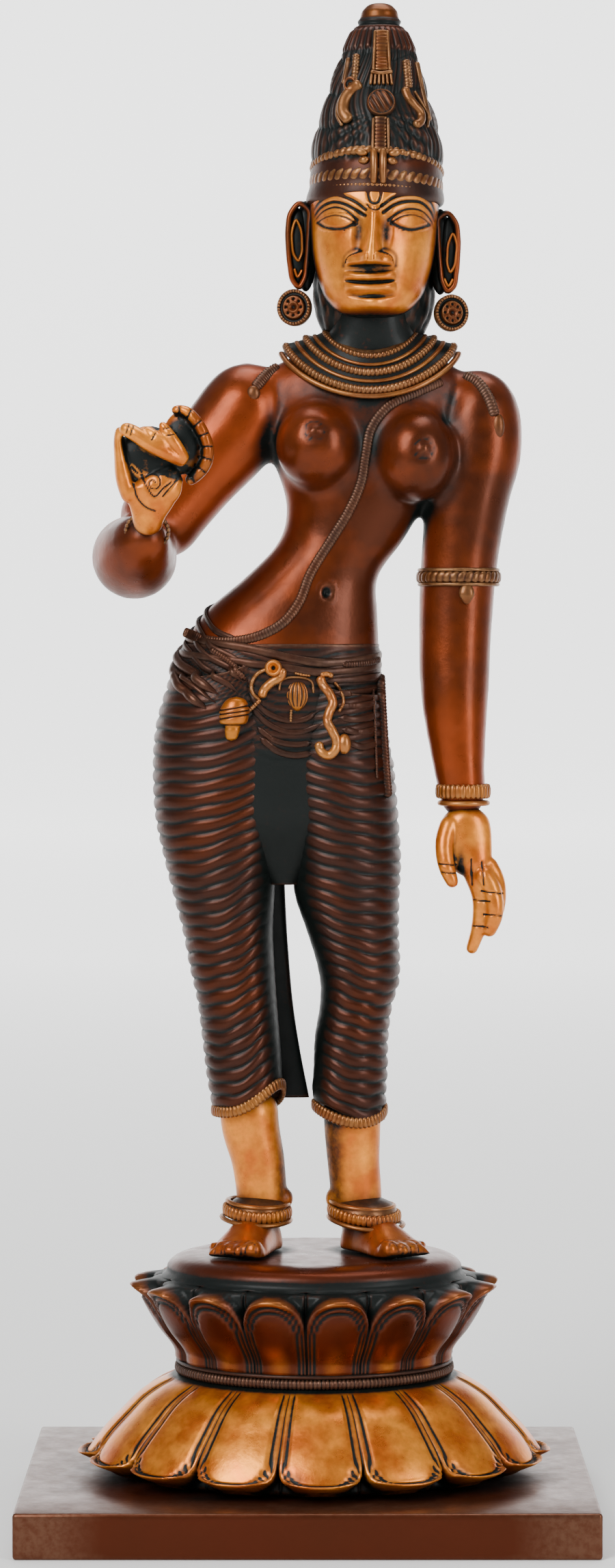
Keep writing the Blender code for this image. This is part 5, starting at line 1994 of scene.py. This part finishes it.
def rising_petals(petals):
    """Rounded petals that stand up to the disc, with curled tops, and the disc itself."""
    profile = [
        (0, 0.55, 0.47), (
            0.04, 0.578, 0.50,
        ), (0.12, 0.590, 0.56), (0.28, 0.664, 0.67), (0.44, 0.728, 0.79), (0.54, 0.753, 0.86),
        (
            0.575, 0.745, 0.885,
        ), (0.61, 0.700, 0.895), (0.64, 0.655, 0.90), (0.66, 0.640, 0.915), (0.69, 0.636, 0.945), (0.71, 0.620, 0.965),
        (0.76, 0.560, 0.992), (0.84, 0.40, 0.998), (0.92, 0.2, 1.0), (1, 0.001, 1.0),
    ]

    def shape(u, v):
        low, height = LOTUS_LOW[2], lotus_sizes()[2]
        t, u = across_petals(u, petals, 0.36)
        s = np.clip((v - 0.05) / 0.50, 0, 1.2)
        radius, level = along(profile, v)
        end = np.clip((s - 0.42) / 0.58, 0, 1.3)
        q = (np.abs(t) ** 2.3 + end**2.3) ** (1 / 2.3)
        on_petal = smoothstep(0.02, 0.08, v) * smoothstep(0.64, 0.60, v)
        radius = radius + 0.020 * np.clip(1 - np.abs(t) ** 2, 0, 1) * on_petal
        gap = smoothstep(1.0, 1.14, q) * on_petal
        lip = bell(q - 0.98, 0.14) * smoothstep(0.78, 1.0, s) * on_petal * np.clip(
            1 - (np.abs(t) / 0.72) ** 4, 0, 1,
        )
        radius = radius - 0.060 * gap + 0.032 * lip
        edge = smoothstep(1.2, 0.95, q) * on_petal * (1 - lip)
        cuts = (bell(q - 0.74, 0.06) + bell(q - 0.87, 0.055)) * edge + 1.1 * bell(np.abs(t) - 1, 0.05) * on_petal
        radius = radius - 0.012 * cuts
        rim = smoothstep(0.60, 0.64, v) * smoothstep(0.72, 0.66, v)
        # Patina in the cuts; painted shade and patina between the petals, at their foot and under the disc's rim
        patina_and_shade = 1.2 * cuts + 1.3 * gap + 1.0 * smoothstep(0.06, 0.01, v) + 1.1 * rim
        patina_and_shade += 0.4 * bell(q - 0.62, 0.14) * smoothstep(0.6, 0.9, s) * on_petal
        gold = (0.25 * smoothstep(0.5, 0.1, s) * bell(t, 0.5) * (1 - gap) + 0.3 * lip) * on_petal
        return on_lotus(u, radius, low + height * level), gold, patina_and_shade

    return shape


class STATUE_OT_plinth(PieceOperator):
    """Cast the plain slab under the lotus"""

    bl_idname = "statue.plinth"
    bl_label = "Plinth"

    def execute(self, context):
        bm = bmesh.new()
        bmesh.ops.create_cube(bm, size=1)
        size = [high - low for low, high in zip(PLINTH_LOW, PLINTH_HIGH)]
        middle = [(high + low) / 2 for low, high in zip(PLINTH_LOW, PLINTH_HIGH)]
        bmesh.ops.scale(bm, vec=size, verts=bm.verts)
        bmesh.ops.translate(bm, vec=middle, verts=bm.verts)
        bmesh.ops.subdivide_edges(bm, edges=bm.edges[:], cuts=5, use_grid_fill=True)
        sharp = [e for e in bm.edges if e.calc_face_angle(0) > 1]
        bmesh.ops.bevel(bm, geom=sharp, offset=EDGE_ROUND, segments=3, affect="EDGES", profile=0.5, material=-1)
        bmesh.ops.recalc_face_normals(bm, faces=bm.faces)
        obj = finished("plinth_slab", bm)
        obj.data.set_sharp_from_angle(angle=math.radians(50))
        for mask in ("gold", "patina_and_shade"):
            write_mask(obj.data, mask, np.zeros(len(obj.data.vertices)))
        dress(obj, self.finish_of(context)["slab"], "plinth")
        return {"FINISHED"}


class STATUE_OT_age(PieceOperator):
    """Work out where patina and painted shade pool and where ridges are rubbed and given sheen, on every piece"""

    bl_idname = "statue.age"
    bl_label = "Patina, Shade, Wear and Sheen"

    def execute(self, context):
        pieces = [o for o in context.scene.objects if o.type == "MESH" and "gold" in o.data.attributes]
        if not pieces:
            raise RuntimeError("No carved piece to age")
        shadow = hollows(np.concatenate([read_points(o.data) for o in pieces]))
        for obj in pieces:
            mesh = obj.data
            points, normals, edges = read_points(mesh), read_normals(mesh), read_edges(mesh)
            step = np.linalg.norm(points[edges[:, 0]] - points[edges[:, 1]], axis=1).mean()
            passes = int(np.clip((SMOOTH_SPAN / step) ** 2, 2, 24))
            soft = points.copy()
            for _ in range(passes):
                soft += 0.5 * (neighbours_mean(soft, edges) - soft)
            depth = ((soft - points) * normals).sum(1) / GROOVE_DEPTH
            write_mask(mesh, "cavity", np.clip(depth, -1.5, 1.5))
            # Painted shade, with patina, in shut-in places
            write_mask(mesh, "hollow_shade_and_patina", shadow(points, normals))
        return {"FINISHED"}


def hollows(points):
    """A reader of how shut in a place is: the share of solid in the space before it.
    Its value paints shade as well as patina.
    """
    cell = HOLLOW_CELL
    low = points.min(0) - 12 * cell
    counts = np.ceil((points.max(0) + 12 * cell - low) / cell).astype(int)
    shell = np.zeros(counts, bool)
    shell[tuple(((points - low) / cell).astype(int).T)] = True
    solid = np.ones(counts, bool)
    for axis in range(3):
        before = np.maximum.accumulate(shell, axis=axis)
        after = np.flip(np.maximum.accumulate(np.flip(shell, axis), axis=axis), axis)
        solid &= before & after
    cloud = solid.astype(np.float32)
    for _ in range(3):
        for axis in range(3):
            total = np.cumsum(cloud, axis=axis)
            cloud = (np.roll(total, -2, axis) - np.roll(total, 3, axis)) / 5
    cloud = np.clip(cloud, 0, 1)

    def shadow(places, normals):
        value = np.zeros(len(places))
        for reach, weight in ((0.0035, 0.5), (0.0075, 0.5)):
            spot = (places + normals * reach - low) / cell - 0.5
            base = np.clip(np.floor(spot).astype(int), 0, counts - 2)
            share = np.clip(spot - base, 0, 1)
            for corner in range(8):
                bits = np.array([(corner >> k) & 1 for k in range(3)])
                weights = np.prod(np.where(bits, share, 1 - share), axis=1)
                value += weight * weights * cloud[tuple((base + bits).T)]
        return np.clip((value - 0.14) / 0.5, 0, 1)

    return shadow


class STATUE_OT_stage(bpy.types.Operator):
    """Set the pale floor, the soft lights and the camera"""

    bl_idname = "statue.stage"
    bl_label = "Stage"

    def execute(self, context):
        scene = context.scene
        bm = bmesh.new()
        bmesh.ops.create_grid(bm, x_segments=24, y_segments=60, size=0.5)
        for vert in bm.verts:
            across, run = vert.co.x * PAPER_WIDTH, (vert.co.y + 0.5) * PAPER_LENGTH - PAPER_AHEAD
            turn = (run - PAPER_FAR) / PAPER_BEND
            if turn < 0:
                vert.co = (across, run, 0)
            elif turn < math.pi / 2:
                rise = PAPER_BEND * (1 - math.cos(turn))
                vert.co = (across, PAPER_FAR + PAPER_BEND * math.sin(turn), rise)
            else:
                vert.co = (across, PAPER_FAR + PAPER_BEND, PAPER_BEND * (1 + turn - math.pi / 2))
        bmesh.ops.recalc_face_normals(bm, faces=bm.faces)
        sweep = finished("paper_sweep", bm)
        paper = bpy.data.materials.new("glowing_white_paper")
        paper.use_nodes = True
        shader = paper.node_tree.nodes["Principled BSDF"]
        shader.inputs["Base Color"].default_value = (*linear("#F2F2F0"), 1)
        shader.inputs["Roughness"].default_value = 0.9
        # The paper glows with painted light that rises from behind the statue up the wall, as if lit
        # from behind; the floor in front is lit only by the lamps
        where = add_node(paper.node_tree, "ShaderNodeTexCoord").outputs["Object"]
        depth = add_node(paper.node_tree, "ShaderNodeSeparateXYZ", {0: where}).outputs["Y"]
        glow = add_node(
            paper.node_tree, "ShaderNodeMapRange",
            {"Value": depth, "From Min": 0.1, "From Max": 2.4, "To Max": 1.9},
        )
        paper.node_tree.links.new(glow.outputs["Result"], shader.inputs["Emission Strength"])
        shader.inputs["Emission Color"].default_value = (1, 1, 1, 1)
        sweep.data.materials.append(paper)

        world = bpy.data.worlds.new("soft_room")
        world.use_nodes = True
        background = world.node_tree.nodes["Background"]
        background.inputs["Color"].default_value = (0.95, 0.97, 1.0, 1)
        background.inputs["Strength"].default_value = 0.3
        scene.world = world

        for name, place, aim, size, power in (
            ("window_light", (-0.9, -1.3, 1.25), (0, 0, 0.3), (0.9, 1.2), 40),
            ("fill_light", (1.3, -1.1, 0.7), (0, 0, 0.25), (0.5, 1.2), 18),
            ("top_light", (0.1, 0.2, 1.6), (0, 0, 0.3), (1.0, 0.8), 14),
        ):
            lamp = bpy.data.lights.new(name, "AREA")
            lamp.shape = "RECTANGLE"
            lamp.size, lamp.size_y = size
            lamp.energy = power
            holder = bpy.data.objects.new(name, lamp)
            holder.location = place
            holder.rotation_euler = (Vector(aim) - Vector(place)).to_track_quat("-Z", "Y").to_euler()
            scene.collection.objects.link(holder)

        camera = bpy.data.cameras.new("camera")
        camera.sensor_fit = "VERTICAL"
        camera.sensor_height = SENSOR_HEIGHT
        camera.lens = LENS
        holder = bpy.data.objects.new("camera", camera)
        holder.location = CAMERA_PLACE
        holder.rotation_euler = (math.pi / 2 - CAMERA_TILT, 0, 0)
        scene.collection.objects.link(holder)
        scene.camera = holder
        return {"FINISHED"}


class STATUE_PT_panel(bpy.types.Panel):
    """Every step of the statue, in order"""

    bl_idname = "STATUE_PT_panel"
    bl_label = "Brass Goddess"
    bl_space_type = "VIEW_3D"
    bl_region_type = "UI"
    bl_category = "Goddess"

    def draw(self, context):
        for settings in (context.scene.statue_sizes, context.scene.statue_colours):
            box = self.layout.box()
            for name in settings.__annotations__:
                box.prop(settings, name)
        for operator in STEPS:
            self.layout.operator(operator.bl_idname)


STEPS = (
    STATUE_OT_bare_body,
    STATUE_OT_head,
    STATUE_OT_crown,
    STATUE_OT_skirt,
    STATUE_OT_sashes,
    STATUE_OT_jewellery,
    STATUE_OT_hands,
    STATUE_OT_feet,
    STATUE_OT_lotus,
    STATUE_OT_plinth,
    STATUE_OT_age,
    STATUE_OT_stage,
)
CLASSES = (StatueColours, StatueSizes, *STEPS, STATUE_PT_panel)


def register():
    for cls in CLASSES:
        bpy.utils.register_class(cls)
    bpy.types.Scene.statue_colours = bpy.props.PointerProperty(type=StatueColours)
    bpy.types.Scene.statue_sizes = bpy.props.PointerProperty(type=StatueSizes)


def unregister():
    del bpy.types.Scene.statue_sizes
    del bpy.types.Scene.statue_colours
    for cls in reversed(CLASSES):
        bpy.utils.unregister_class(cls)


def main():
    register()
    bpy.ops.statue.bare_body()
    bpy.ops.statue.head()
    bpy.ops.statue.crown()
    bpy.ops.statue.skirt()
    bpy.ops.statue.sashes()
    bpy.ops.statue.jewellery()
    bpy.ops.statue.hands()
    bpy.ops.statue.feet()
    bpy.ops.statue.lotus()
    bpy.ops.statue.plinth()
    bpy.ops.statue.age()
    bpy.ops.statue.stage()


if __name__ == "__main__":
    main()
